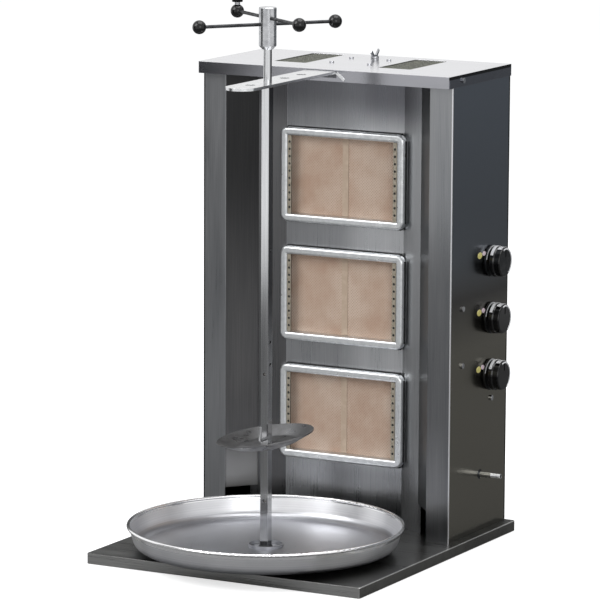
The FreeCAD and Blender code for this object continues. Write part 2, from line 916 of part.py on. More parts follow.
def guide_rivets():
    members = []
    lip = cover_under - s.guide_sheet
    for index, (x, y) in enumerate(rivet_places()):
        head = rod(f"rivet_head_{index}", "Z", (x, y, s.cover_top), s.rivet_head, s.rivet_rise)
        shank = rod(f"rivet_shank_{index}", "Z", (x, y, lip), s.rivet_shank, s.cover_top - lip)
        foot = rod(f"rivet_foot_{index}", "Z", (x, y, lip - s.rivet_rise), s.rivet_head,
                   s.rivet_rise)
        members.append(fuse(f"rivet_{index}", head, shank, foot))
    group("guide_rivets", members)


def arm():
    """A flat bar with a round tip, a row of holes and a slot for the clamping screw."""
    half = s.arm_width / 2
    bar = Piece("arm")
    bar.pad("XY", arm_bottom, arm_top, rectangle(-half, -s.arm_tip, half, s.arm_rear))
    bar.pad("XY", arm_bottom, arm_top, Ring(0, -s.arm_tip, s.arm_width))
    skewer_hole = Ring(0, 0, s.bar_side + 4 * s.running_fit)
    spare = [Ring(0, s.arm_hole_pitch * step, s.arm_hole) for step in (-1, 1, 2)]
    bar.pocket("XY", arm_bottom, arm_top, skewer_hole, *spare)
    slot = s.clamp_thread + 4 * s.cutout_play
    front = s.clamp_middle - s.arm_in
    back = s.clamp_middle + s.arm_out
    bar.pocket("XY", arm_bottom, arm_top, rectangle(-slot / 2, front, slot / 2, back))
    bar.pocket("XY", arm_bottom, arm_top, Ring(0, front, slot), Ring(0, back, slot))


def clamp_nut():
    """Welded nut under the guide's floor."""
    across = s.clamp_nut_flats / (2 * cosine(30))
    under = guide_floor - s.guide_sheet
    bottom = under - s.clamp_nut_height
    block = prism("clamp_nut_block", "Z", (0, s.clamp_middle, bottom), across, s.clamp_nut_height)
    bore = rod("clamp_nut_bore", "Z", (0, s.clamp_middle, bottom),
               s.clamp_thread + 2 * s.running_fit, s.clamp_nut_height)
    node("clamp_nut", cut("clamp_nut", block, bore))


def wing_screw():
    """Screw that clamps the arm: shank, collar and two upright wings."""
    bottom = guide_floor - s.guide_sheet - s.clamp_nut_height
    collar_low = s.cover_top + s.slide_play
    collar_top = collar_low + s.clamp_collar_height
    piece = Piece("wing_screw", (0, s.clamp_middle, 0))
    piece.pad("XY", bottom, collar_low, Ring(0, 0, s.clamp_thread))
    piece.pad("XY", collar_low, collar_top, Ring(0, 0, s.clamp_collar))
    half = s.wing_span / 2
    root = s.clamp_collar / 2
    tip = collar_top + s.wing_height
    outline = [
        (-root, collar_top - s.clamp_collar_height / 2), (root, collar_top - s.clamp_collar_height / 2),
        (half, tip - s.wing_height / 3), (half - root / 3, tip), (root / 2, collar_top + root / 3),
        (-root / 2, collar_top + root / 3), (root / 3 - half, tip), (-half, tip - s.wing_height / 3),
    ]
    piece.pad("YZ", -s.wing_sheet / 2, s.wing_sheet / 2, outline)


# Skewer and what it carries

def skewer():
    half = s.bar_side / 2
    bar_top = arm_bottom - s.bar_arm_gap
    bar = Piece("skewer")
    bar.pad("XY", s.bar_bottom, bar_top, rectangle(-half, -half, half, half))
    bar.pad("XY", bar_top, s.skewer_top, Ring(0, 0, s.bar_side))
    bar.pad("XY", s.pivot_end, s.bar_bottom, Ring(0, 0, s.pivot_diameter))
    bar.chamfer(s.bar_bevel, lambda e: lies_at(e, "Z", s.skewer_top) or lies_at(e, "Z", s.pivot_end))
    front = [Ring(0, z, s.cross_hole) for z in (s.front_hole_low, s.lock_height, s.front_hole_high)]
    side_heights = (s.stop_height, s.side_hole_low, s.side_hole_middle, s.side_hole_high)
    side = [Ring(0, z, s.cross_hole) for z in side_heights]
    bar.pocket("XZ", -half, half, *front)
    bar.pocket("YZ", -half, half, *side)


def stop_pin():
    """Dowel across the skewer, under the dish."""
    diameter = s.cross_hole - 2 * s.running_fit
    start = (-s.stop_length / 2, 0, s.stop_height)
    node("stop_pin", rod("stop_pin", "X", start, diameter, s.stop_length))


def meat_dish():
    """Shallow round plate with a square hole. It tips as far as its hole lets it on the pin."""
    sheet = s.dish_sheet
    flat = s.dish_flat
    rim = s.dish_radius
    outline = [
        (0, -sheet), (flat, -sheet), (rim, s.dish_rise - sheet),
        (rim, s.dish_rise), (flat, 0), (0, 0),
    ]
    dish = Piece("meat_dish", (0, 0, s.dish_level))
    dish.turn("XZ", "V_Axis", outline)
    dish.fillet(s.dish_knee, lambda e: knee_of_dish(e))
    half = s.bar_side / 2 + s.dish_hole_play
    dish.pocket("XY", -sheet, 0, rectangle(-half, -half, half, half))
    azimuth = math.radians(s.dish_tilt_azimuth.number)
    tilt_axis = FreeCAD.Vector(-math.sin(azimuth), math.cos(azimuth), 0)
    dish.body.Placement.Rotation = FreeCAD.Rotation(tilt_axis, -s.dish_tilt.number)


def knee_of_dish(edge):
    """The two circles where the dish's flat middle meets its sloping rim."""
    if edge.Curve.TypeId != "Part::GeomCircle":
        return False
    return abs(edge.Curve.Radius - s.dish_flat.number) < 1e-4


def lock_pin():
    """Pin through the skewer above the dish, with a finger bent up at its front."""
    diameter = s.cross_hole - 2 * s.running_fit
    corner = (0, -s.lock_front, s.lock_height)
    shank = rod("lock_shank", "Y", corner, diameter, s.lock_front + s.lock_back)
    elbow = ball("lock_elbow", corner, diameter)
    finger = rod("lock_grip", "Z", corner, diameter, s.lock_finger)
    node("lock_pin", fuse("lock_pin", shank, elbow, finger))


# Turning handle

def hub():
    """Boss that drops over the skewer's round end, cross-drilled for the two rods."""
    piece = Piece("hub")
    piece.pad("XY", s.hub_bottom, s.hub_top, Ring(0, 0, s.hub_diameter))
    piece.chamfer(s.hub_bevel, lambda e: lies_at(e, "Z", s.hub_bottom))
    piece.chamfer(s.bar_bevel, lambda e: lies_at(e, "Z", s.hub_top))
    socket_top = s.skewer_top + s.slide_play
    piece.pocket("XY", s.hub_bottom, socket_top, Ring(0, 0, s.bar_side + 2 * s.running_fit))
    bores = []
    for name, azimuth, height in rod_places():
        bores.append(handle_rod(f"{name}_bore", azimuth, height, s.rod_diameter, s.hub_diameter))
    tool = piece.body
    drilled = cut("hub_drilled", tool, *bores)
    tool.Label = "hub_blank"
    node("hub", drilled)


def rod_places():
    return [
        ("upper", s.rod_upper_azimuth, s.rod_upper),
        ("lower", s.rod_lower_azimuth, s.rod_lower),
    ]


def handle_rod(name, azimuth, height, diameter, half_length):
    """A level rod through the skewer's axis at an azimuth from +X."""
    obj = doc.addObject("Part::Cylinder", name)
    obj.setExpression("Radius", (as_size(diameter) / 2).formula)
    obj.setExpression("Height", (2 * as_size(half_length)).formula)
    about_z = FreeCAD.Rotation(FreeCAD.Vector(0, 0, 1), azimuth.number)
    obj.Placement.Rotation = about_z * AXIS_TURNS["X"]
    reach = as_size(half_length)
    move(obj, (-reach * cosine(azimuth), -reach * sine(azimuth), height))
    return obj


def handle_rods():
    reach = s.ball_radius - s.ball_diameter / 2 + s.ball_socket
    members = []
    for name, azimuth, height in rod_places():
        diameter = s.rod_diameter - 2 * s.running_fit
        members.append(handle_rod(f"{name}_rod", azimuth, height, diameter, reach))
    group("handle_rods", members)


def ball_places():
    """Centres of the four balls, with the crank's ball first."""
    places = []
    for name, azimuth, height in rod_places():
        for side in (1, -1):
            reach = side * s.ball_radius
            places.append((reach * cosine(azimuth), reach * sine(azimuth), height))
    return places


def handle_balls():
    """Four balls screwed on the rods. The crank's ball is also drilled from above."""
    reach = s.ball_radius - s.ball_diameter / 2 + s.ball_socket
    bores = {}
    for name, azimuth, height in rod_places():
        bores[name] = handle_rod(f"{name}_ball_bore", azimuth, height, s.rod_diameter, reach)
    members = []
    for index, at in enumerate(ball_places()):
        tools = [bores["upper"] if index < 2 else bores["lower"]]
        if index == 0:
            seat = (at[0], at[1], at[2] + s.rod_diameter / 2 + 1)
            tools.append(rod("stem_seat", "Z", seat, s.stem_diameter, s.ball_diameter / 2))
        sphere = ball(f"ball_{index}", at, s.ball_diameter)
        members.append(cut(f"handle_ball_{index}", sphere, *tools))
    group("handle_balls", members)


def crank_stem():
    """Upright pin in the crank's ball, with a head that keeps the grip on."""
    x, y, z = ball_places()[0]
    low = z + s.rod_diameter / 2 + 1
    shank = rod("crank_shank", "Z", (x, y, low), s.stem_diameter - 2 * s.running_fit,
                stem_top - low)
    head = rod("crank_head", "Z", (x, y, stem_top), s.stem_head, s.stem_head_height)
    node("crank_stem", fuse("crank_stem", shank, head))


def crank_grip():
    """Barrel grip that turns freely on the crank's stem."""
    x, y, z = ball_places()[0]
    top = stem_top - s.slide_play
    bore = s.stem_diameter / 2 + s.running_fit
    belly = s.grip_diameter / 2
    waist = s.grip_waist / 2
    length = top - grip_bottom
    outline = [
        (bore, grip_bottom), (waist, grip_bottom), (belly, grip_bottom + length / 4),
        (belly, top - length / 8), (waist, top), (bore, top),
    ]
    grip = Piece("crank_grip", (x, y, 0))
    grip.turn("XZ", "V_Axis", outline)
    grip.fillet(s.hub_bevel, lambda e: is_circle(e, belly))


def is_circle(edge, radius):
    if edge.Curve.TypeId != "Part::GeomCircle":
        return False
    return abs(edge.Curve.Radius - radius.number) < 1e-4


# Carriage and drip pan

def carriage_plate():
    half = s.carriage_width / 2
    plate = Piece("carriage_plate")
    plate.pad("XY", carriage_bottom, carriage_top,
              rectangle(-half, -s.carriage_half, half, s.carriage_half))
    plate.pocket("XY", s.bush_bottom, carriage_top, Ring(0, 0, s.bush_diameter + s.running_fit))


def pivot_bush():
    """Blind bush that the skewer's pivot turns in."""
    bush = Piece("pivot_bush")
    bush.pad("XY", s.bush_bottom, bush_top, Ring(0, 0, s.bush_diameter))
    bush.pocket("XY", s.pivot_end - s.slide_play, bush_top,
                Ring(0, 0, s.pivot_diameter + 2 * s.running_fit))


def drip_pan():
    """Round pan with a flat floor, a steep wall, a rolled rim and a lip round its hole."""
    hole = s.pan_hole / 2
    bead = s.pan_bead / 2
    wall_top_x = s.pan_radius - bead
    wall_top_z = s.pan_rim - bead
    sheet = s.pan_sheet
    outline = [
        (hole, pan_bottom), (s.pan_foot, pan_bottom), (wall_top_x, wall_top_z),
        (wall_top_x - sheet, wall_top_z), (s.pan_foot - sheet, pan_bottom + sheet),
        (hole + sheet, pan_bottom + sheet), (hole + sheet, pan_bottom + s.pan_lip),
        (hole, pan_bottom + s.pan_lip),
    ]
    pan = Piece("drip_pan")
    pan.turn("XZ", "V_Axis", outline)
    pan.fillet(s.pan_knee, lambda e: is_circle(e, s.pan_foot) or is_circle(e, s.pan_foot - sheet))
    pan.turn("XZ", "V_Axis", Ring(wall_top_x, wall_top_z, s.pan_bead))


# Burners

def burner_frame(number, height):
    """Pressed bright frame with a rounded bead round its window.

    Its sides reach past the panel's bends, so the bead stands off the panel on a narrower collar.
    """
    half = frame_half
    rise = s.frame_height / 2
    bead = s.frame_bead
    front = panel_front - s.frame_depth
    past_bend = (half - panel_x) * cosine(s.strip_slope) / sine(s.strip_slope)
    back = panel_front - s.slide_play - larger(past_bend, 0)
    collar = smaller(half, panel_x) - bead / 4
    frame = Piece(f"burner_frame_{number}", (0, 0, height))
    frame.pad("XZ", front, back, rectangle(-half, -rise, half, rise))
    frame.fillet(s.frame_corner, lambda e: runs_along(e, "Y"))
    frame.pad("XZ", back, panel_front, rectangle(-collar, bead / 4 - rise, collar, rise - bead / 4))
    frame.pocket("XZ", front, panel_front,
                 rectangle(bead - half, bead - rise, half - bead, rise - bead))
    frame.fillet(s.frame_round, lambda e: lies_at(e, "Y", front))


def ceramic_plaques(number, height):
    """Two ceramic plaques side by side, on the panel's back."""
    rise = s.plaque_height / 2
    members = []
    for side, low in (("left", -s.plaque_seam / 2 - plaque_width), ("right", s.plaque_seam / 2)):
        members.append(box(f"plaque_{number}_{side}", (low, panel_back, height - rise),
                           (low + plaque_width, panel_back + s.plaque_depth, height + rise)))
    group(f"ceramic_plaques_{number}", members)


def burner_box(number, height):
    """Gas box behind the plaques, open to the front, with the venturi's hole in its back."""
    inner = plaque_width + s.plaque_seam / 2 + s.box_play
    rise = s.plaque_height / 2 + s.box_play
    sheet = s.box_sheet
    piece = Piece(f"burner_box_{number}", (0, 0, height))
    piece.pad("XZ", panel_back, box_back,
              rectangle(-inner - sheet, -rise - sheet, inner + sheet, rise + sheet))
    piece.pocket("XZ", panel_back, box_back - sheet, rectangle(-inner, -rise, inner, rise))
    piece.pocket("XZ", box_back - sheet, box_back, Ring(-s.venturi_neck, 0, s.neck_bore))


def venturi_tubes():
    """A mixing tube behind each box, closed at the left, with a narrower neck into the box."""
    members = []
    wall = (s.venturi_diameter - s.venturi_bore) / 2
    length = s.venturi_end + s.venturi_mouth
    reach = venturi_y - box_back
    for index, height in enumerate(burner_heights, start=1):
        start = (-s.venturi_end, venturi_y, height)
        neck = (-s.venturi_neck, box_back, height)
        tube = rod(f"venturi_tube_{index}", "X", start, s.venturi_diameter, length)
        branch = rod(f"venturi_neck_{index}", "Y", neck, s.neck_diameter, reach)
        inside = rod(f"venturi_bore_{index}", "X", (wall - s.venturi_end, venturi_y, height),
                     s.venturi_bore, length - wall)
        throat = rod(f"venturi_throat_{index}", "Y", neck, s.neck_bore, reach)
        shell = fuse(f"venturi_shell_{index}", tube, branch)
        members.append(cut(f"venturi_{index}", shell, inside, throat))
    group("venturi_tubes", members)


def injector_end():
    return s.venturi_mouth + s.injector_gap + s.injector_length


def injectors():
    members = []
    for index, height in enumerate(burner_heights, start=1):
        start = (s.venturi_mouth + s.injector_gap, venturi_y, height)
        members.append(prism(f"injector_{index}", "X", start, s.injector_diameter / 2,
                             s.injector_length))
    group("injectors", members)


# Gas taps

def tap_body(number, height):
    """Square brass tap with a collar against the panel and a bore for its plug."""
    half = s.tap_side / 2
    block = box(f"tap_block_{number}", (s.tap_start, s.knob_y - half, height - half),
                (tap_end, s.knob_y + half, height + half))
    collar = rod(f"tap_collar_{number}", "X", (tap_end, s.knob_y, height), s.tap_collar,
                 side_inner - tap_end)
    bore = rod(f"tap_bore_{number}", "X", (s.plug_start, s.knob_y, height), s.plug_diameter,
               half_width - s.plug_start)
    solid = fuse(f"tap_solid_{number}", block, collar)
    node(f"tap_body_{number}", cut(f"tap_body_{number}", solid, bore))


def plug_end():
    return half_width - s.plug_inset


def tap_plug(number, height):
    """Plug that turns in the tap, with a square hole for the stem and a round mouth."""
    start = s.plug_start + s.slide_play
    square = s.stem_square + 2 * s.stem_square_play
    mouth = tap_stem_neck() - s.knob_push - s.slide_play
    hole_start = s.tap_stem_start - s.knob_push - s.slide_play
    plug = Piece(f"tap_plug_{number}", (0, s.knob_y, height))
    plug.pad("YZ", start, plug_end(), Ring(0, 0, s.plug_diameter - 2 * s.running_fit))
    plug.pocket("YZ", hole_start, plug_end(),
                rectangle(-square / 2, -square / 2, square / 2, square / 2))
    plug.pocket("YZ", mouth, plug_end(), Ring(0, 0, s.tap_stem + 2 * s.running_fit))


def tap_stem_neck():
    """Where the stem turns from square to round."""
    return plug_end() - s.running_fit


def tap_stem(number, height):
    half = s.stem_square / 2
    stem = Piece(f"tap_stem_{number}", (0, s.knob_y, height))
    stem.pad("YZ", tap_stem_neck(), knob_base + s.tap_stem_grip, Ring(0, 0, s.tap_stem))
    stem.pad("YZ", s.tap_stem_start, tap_stem_neck(), rectangle(-half, -half, half, half))


def knob(number, height):
    """Round knob: a wide skirt, a narrower grip and a pointer groove across its face."""
    skirt = s.knob_diameter / 2
    face = s.knob_face / 2
    outline = [
        (knob_base, 0), (knob_base, skirt), (knob_base + s.knob_skirt, skirt),
        (knob_base + s.knob_skirt + s.knob_bevel, face), (knob_end, face), (knob_end, 0),
    ]
    piece = Piece(f"knob_{number}", (0, s.knob_y, height))
    piece.turn("XY", "H_Axis", outline)
    piece.fillet(s.knob_bevel, lambda e: is_circle(e, face) and lies_at(e, "X", knob_end))
    piece.pocket("YZ", knob_base, knob_base + s.tap_stem_grip + s.slide_play,
                 Ring(0, 0, s.tap_stem + 2 * s.running_fit))
    half = s.pointer_width / 2
    piece.pocket("YZ", knob_end - s.pointer_depth, knob_end,
                 rectangle(-half, face / 3, half, face - s.knob_bevel))


def knob_bezels():
    members = []
    for index, height in enumerate(knob_heights, start=1):
        ring = rod(f"bezel_ring_{index}", "X", (half_width, s.knob_y, height), s.bezel_diameter,
                   s.bezel_thickness)
        bore = rod(f"bezel_bore_{index}", "X", (half_width, s.knob_y, height), s.tap_collar,
                   s.bezel_thickness)
        members.append(cut(f"bezel_{index}", ring, bore))
    group("knob_bezels", members)


# Gas supply

def gas_rail():
    """Upright pipe behind the taps, with a branch to each and an elbow to the inlet."""
    corner = (rail_x, s.rail_y, s.inlet_z)
    turn = (rail_x, s.inlet_y, s.inlet_z)
    end = (s.inlet_start, s.inlet_y, s.inlet_z)
    outer = pipe_run("rail_outer", [(rail_x, s.rail_y, s.rail_top), corner, turn, end],
                     s.rail_diameter)
    cap = (s.rail_diameter - s.rail_bore) / 2
    inner = pipe_run("rail_inner", [(rail_x, s.rail_y, s.rail_top - cap), corner, turn, end],
                     s.rail_bore)
    back = s.knob_y + s.tap_side / 2
    branches = [rod(f"rail_branch_{i}", "Y", (rail_x, back, height), s.rail_branch, s.rail_y - back)
                for i, height in enumerate(knob_heights)]
    shell = fuse("rail_shell", outer, *branches)
    node("gas_rail", cut("gas_rail", shell, inner))


def supply_pipes():
    """A thin pipe from each tap to its burner's injector."""
    members = []
    for index, (tap, burner) in enumerate(zip(knob_heights, burner_heights), start=1):
        points = [
            (s.tap_start, s.knob_y, tap), (s.pipe_x, s.knob_y, tap), (s.pipe_x, s.knob_y, burner),
            (s.pipe_x, venturi_y, burner), (injector_end(), venturi_y, burner),
        ]
        members.append(pipe_run(f"supply_pipe_{index}", points, s.pipe_diameter))
    group("supply_pipes", members)


def inlet_fitting():
    """Gas inlet whose end is flush with the right panel, with a nut against the panel's inside."""
    start = (s.inlet_start, s.inlet_y, s.inlet_z)
    length = half_width - s.inlet_start
    inside = (side_inner - s.inlet_nut_height, s.inlet_y, s.inlet_z)
    shank = rod("inlet_shank", "X", start, s.inlet_diameter, length)
    nut = prism("inlet_nut", "X", inside, s.inlet_nut_corner, s.inlet_nut_height)
    bore = rod("inlet_bore", "X", start, s.inlet_bore, length)
    node("inlet_fitting", cut("inlet_fitting", fuse("inlet_solid", shank, nut), bore))


def hose_nozzle():
    """Nozzle for the gas hose: a spigot in the inlet, a plain length and three barbs."""
    radius = s.nozzle_diameter / 2
    bore = s.nozzle_bore / 2
    spigot = s.inlet_bore / 2 - s.running_fit
    length = s.nozzle_length
    plain = s.nozzle_plain
    outline = [(-s.nozzle_grip, bore), (-s.nozzle_grip, spigot), (0, spigot), (0, radius),
               (plain, radius)]
    for step in range(3):
        low = plain + (length - plain) * step / 3
        high = plain + (length - plain) * (step + 1) / 3
        if step:
            outline.append((low, radius))
        outline.append((high, radius - s.nozzle_barb))
    outline.append((length, bore))
    nozzle = Piece("hose_nozzle", (half_width, s.inlet_y, s.inlet_z))
    nozzle.turn("XY", "H_Axis", outline)


def build():
    """Build every sub-part, from the base up and then inward."""
    base_tray()
    base_stiffener()
    rubber_feet()
    pan_guides()
    casing_left()
    casing_right()
    reflector_panel()
    back_panel()
    burner_bay_floor()
    casing_screws()
    back_screws()
    top_cover()
    vent_meshes()
    cover_screws()
    arm_guide()
    guide_rivets()
    arm()
    clamp_nut()
    wing_screw()
    skewer()
    stop_pin()
    meat_dish()
    lock_pin()
    hub()
    handle_rods()
    handle_balls()
    crank_stem()
    crank_grip()
    carriage_plate()
    pivot_bush()
    drip_pan()
    for number, height in enumerate(burner_heights, start=1):
        burner_frame(number, height)
        ceramic_plaques(number, height)
        burner_box(number, height)
    for number, height in enumerate(knob_heights, start=1):
        tap_body(number, height)
        tap_plug(number, height)
        tap_stem(number, height)
        knob(number, height)
    knob_bezels()
    venturi_tubes()
    injectors()
    gas_rail()
    supply_pipes()
    inlet_fitting()
    hose_nozzle()


def check():
    """Stop if anything in the document failed or a sub-part isn't a valid shape."""
    for obj in doc.Objects:
        if "Invalid" in obj.State or "Error" in obj.State:
            raise RuntimeError(f"{obj.Label} failed: {obj.State}")
    for label, obj in nodes.items():
        if obj.Shape.isNull() or not obj.Shape.isValid() or not obj.Shape.Solids:
            raise RuntimeError(f"{label} has no valid shape")


build()
doc.recompute()
check()
os.makedirs("parts", exist_ok=True)
for label, obj in nodes.items():
    obj.Shape.exportStep(f"parts/{label}.step")
print(len(nodes), "sub-parts written")
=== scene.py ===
"""Looks of a gas doner kebab grill: brushed steel body, burners, spun pan, skewer and handle."""
import logging
import math
from collections.abc import Iterable
from dataclasses import dataclass
from enum import Enum

import bmesh
import bpy
from bmesh.types import BMesh, BMVert
from bpy.types import ID, Material, Mesh, Node, NodeTree, Object, World
from mathutils import Matrix, Vector


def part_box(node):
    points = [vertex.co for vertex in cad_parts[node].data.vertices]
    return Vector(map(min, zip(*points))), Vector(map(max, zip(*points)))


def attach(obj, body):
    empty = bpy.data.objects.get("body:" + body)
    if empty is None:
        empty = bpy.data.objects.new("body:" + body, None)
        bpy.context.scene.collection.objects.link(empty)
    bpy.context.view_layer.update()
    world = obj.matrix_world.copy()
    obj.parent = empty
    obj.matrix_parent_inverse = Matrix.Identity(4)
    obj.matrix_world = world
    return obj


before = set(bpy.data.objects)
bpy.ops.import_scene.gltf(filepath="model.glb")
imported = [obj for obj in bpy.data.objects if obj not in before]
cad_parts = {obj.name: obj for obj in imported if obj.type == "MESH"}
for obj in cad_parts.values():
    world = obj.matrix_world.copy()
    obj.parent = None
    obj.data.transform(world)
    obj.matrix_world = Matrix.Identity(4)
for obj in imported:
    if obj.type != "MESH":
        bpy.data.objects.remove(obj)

LOG = logging.getLogger("grill")
MM = 0.001
BODY = "grill_frame"
WHITE = (1.0, 1.0, 1.0, 1.0)
ALONG_X = (1.0, 0.0, 0.0)
# How many steps a curved band, and a knob's wire, are made of
BAND_STEPS = 24
RIM_STEPS = 40
UP = Vector((0.0, 0.0, 1.0))
# Trim is set off, or into, the surface that it meets by this much, so that no faces coincide
TRIM_PLAY_MM = 0.1
# A noise's scale along a brushed grain: the smaller, the longer its scratches
SCRATCH_STRETCH = 0.012
# Where a noise's values crowd, so that roughness follows this stretch of them
NOISE_SPAN = (0.3, 0.7)
# How finely a noise is broken up
STREAK_DETAIL = 2.0
SCRATCH_DETAIL = 3.0
SMEAR_DETAIL = 4.0
STAIN_DETAIL = 5.0
# The value inside and outside a stretch that fades out
FALLING = (1.0, 0.0)

# A node and the name or number of one of its outputs
Output = tuple[Node, int | str]
Point = tuple[float, float, float]
Pair = tuple[float, float]


class Axis(Enum):
    """Direction of a brushed grain, or the axis that a span is measured along."""

    X = 0
    Y = 1
    Z = 2


X, Y, Z = Axis


def linear(code: str) -> tuple[float, float, float, float]:
    """Turn an sRGB hex colour to the linear values that a shader takes.

    Args:
        code: six hex digits, with or without a leading hash.

    Returns:
        Linear red, green and blue, and an alpha of one.
    """
    digits = code.lstrip("#")
    channels = [int(digits[i:i + 2], 16) / 255 for i in (0, 2, 4)]
    red, green, blue = (
        c / 12.92 if c <= 0.04045 else ((c + 0.055) / 1.055) ** 2.4 for c in channels
    )
    return (red, green, blue, 1.0)


def feed(tree: NodeTree, node: Node, links: dict) -> None:
    """Link outputs to a node's inputs, or set their values.

    Args:
        tree: the node tree.
        node: the node whose inputs are fed.
        links: input name or index to a value, or to an output.
    """
    for name, value in links.items():
        if isinstance(value, tuple) and isinstance(value[0], Node):
            tree.links.new(value[0].outputs[value[1]], node.inputs[name])
        else:
            node.inputs[name].default_value = value


def add(tree: NodeTree, kind: str, links: dict | None = None, **settings: object) -> Node:
    """Add one node with its settings and links.

    Args:
        tree: the node tree to add to.
        kind: the node's type without its ShaderNode prefix.
        links: input name or index to a value, or to an output.
        settings: attributes of the node.

    Returns:
        The new node.
    """
    made = tree.nodes.new(f"ShaderNode{kind}")
    for name, value in settings.items():
        setattr(made, name, value)
    feed(tree, made, links or {})
    return made


def ramp(tree: NodeTree, source: Output, stops: Iterable[tuple[float, str]]) -> Output:
    """Add a colour ramp.

    Args:
        tree: the node tree.
        source: what drives the ramp.
        stops: position and hex colour of each stop.

    Returns:
        The ramp's colour.
    """
    stops = list(stops)
    made = add(tree, "ValToRGB", {"Fac": source})
    elements = made.color_ramp.elements
    while len(elements) < len(stops):
        elements.new(1.0)
    for element, (place, colour) in zip(elements, stops):
        element.position = place
        element.color = linear(colour)
    return (made, 0)


def maths(tree: NodeTree, operation: str, *values: Output | Point | float,
          kind: str = "Math") -> Output:
    """Add a calculation.

    Args:
        tree: the node tree.
        operation: Blender's name for it.
        values: the numbers, vectors or outputs that it takes, in order.
        kind: Math for numbers, VectorMath for vectors.

    Returns:
        Its result.
    """
    made = add(tree, kind, dict(enumerate(values)), operation=operation)
    return (made, "Value" if operation == "LENGTH" else 0)


def remap(tree: NodeTree, value: Output, source: Pair, target: Pair = (0.0, 1.0),
          smooth: bool = False) -> Output:
    """Map one stretch of values to another.

    Args:
        tree: the node tree.
        value: what is mapped.
        source: the stretch that is taken.
        target: what its ends become.
        smooth: whether the change eases in and out.

    Returns:
        The mapped value.
    """
    return (add(tree, "MapRange", {
        "Value": value, "From Min": source[0], "From Max": source[1],
        "To Min": target[0], "To Max": target[1],
    }, interpolation_type="SMOOTHSTEP" if smooth else "LINEAR"), 0)


def noise(tree: NodeTree, place: Node, scale: float, detail: float, grain: Axis | None = None,
          stretch: float = 1.0, **more: float) -> Output:
    """Add a noise, drawn out along a grain if one is given.

    Args:
        tree: the node tree.
        place: its Texture Coordinate node.
        scale: how many of its grains there are in a metre.
        detail: how finely it is broken up.
        grain: the grain's direction.
        stretch: the noise's scale along the grain.
        more: other inputs of the noise.

    Returns:
        Its value.
    """
    source = (place, "Object")
    if grain is not None:
        scales = [1.0, 1.0, 1.0]
        scales[grain.value] = stretch
        source = (add(tree, "Mapping", {"Vector": source, "Scale": scales}), 0)
    links = {"Vector": source, "Scale": scale, "Detail": detail, **more}
    return (add(tree, "TexNoise", links), 0)


def mixed(tree: NodeTree, share: Output | float, first: Output | tuple,
          second: Output | tuple | float, blend: str | None = None) -> Output:
    """Mix two numbers, or two colours if a way to blend them is given.

    Args:
        tree: the node tree.
        share: the second one's share.
        first: the first.
        second: the second.
        blend: Blender's name for the way that colours mix.

    Returns:
        The mixed number or colour.
    """
    if blend is None:
        return (add(tree, "Mix", {0: share, 2: first, 3: second}, data_type="FLOAT"), 0)
    links = {0: share, 6: first, 7: second}
    return (add(tree, "Mix", links, data_type="RGBA", blend_type=blend), 2)


def relief(tree: NodeTree, strength: float, depth_mm: float, height: Output,
           **more: Output) -> Output:
    """Add a bump.

    Args:
        tree: the node tree.
        strength: how much of it shows.
        depth_mm: how deep it is.
        height: what raises it.
        more: other inputs of the bump.

    Returns:
        The bumped normal.
    """
    links = {"Strength": strength, "Distance": depth_mm * MM, "Height": height, **more}
    return (add(tree, "Bump", links), 0)


def cleared(owner: Material | World) -> NodeTree:
    """Empty the node tree of a material or world.

    Args:
        owner: the material or world.

    Returns:
        Its empty node tree.
    """
    owner.use_nodes = True
    owner.node_tree.nodes.clear()
    return owner.node_tree


@dataclass(frozen=True)
class Span:
    """The stretch of one axis that a zone takes, with how far it fades out at both ends."""

    axis: Axis
    low_mm: float
    high_mm: float
    fade_mm: float = 0.2


@dataclass(frozen=True)
class Zone:
    """Spans where a darker tint paints shade, or a tint that replaces the colour paints light."""

    tint: str
    spans: tuple[Span, ...]
    # Set where the tint replaces the colour, to paint a highlight or a reflection
    painted_light: bool = False


def tinted(tree: NodeTree, place: Node, tone: Output, zones: tuple[Zone, ...]) -> Output:
    """Multiply a colour by each zone's tint inside that zone, or replace it where the zone paints
    light.

    Args:
        tree: the node tree.
        place: its Texture Coordinate node.
        tone: the colour.
        zones: the zones.

    Returns:
        The tinted colour.
    """
    if not zones:
        return tone
    parts = add(tree, "SeparateXYZ", {0: (place, "Object")})
    for zone in zones:
        inside = None
        for span in zone.spans:
            middle = (span.low_mm + span.high_mm) / 2 * MM
            half = (span.high_mm - span.low_mm) / 2 * MM
            offset = maths(tree, "SUBTRACT", (parts, span.axis.value), middle)
            reach = maths(tree, "ABSOLUTE", offset)
            within = remap(tree, reach, (half, half + span.fade_mm * MM), FALLING, smooth=True)
            inside = within if inside is None else maths(tree, "MULTIPLY", inside, within)
        blend = "MIX" if zone.painted_light else "MULTIPLY"
        tone = mixed(tree, inside, tone, linear(zone.tint), blend)
    return tone


@dataclass(frozen=True)
class Finish:
    """A finish with a name. Each kind of finish fills in its own nodes."""

    name: str

    def material(self) -> Material:
        """Return the finish's material, made the first time it is asked for.

        Returns:
            The Blender material.
        """
        known = bpy.data.materials.get(self.name)
        if known is not None:
            return known
        made = bpy.data.materials.new(self.name)
        tree = cleared(made)
        shader = add(tree, "BsdfPrincipled")
        add(tree, "OutputMaterial", {"Surface": (shader, "BSDF")})
        feed(tree, shader, self.inputs(tree, add(tree, "TexCoord")))
        return made

    def inputs(self, tree: NodeTree, place: Node) -> dict:
        """Add the finish's own nodes.

        Args:
            tree: the material's node tree.
            place: its Texture Coordinate node.

        Returns:
            What the shader's inputs take.
        """
        raise NotImplementedError


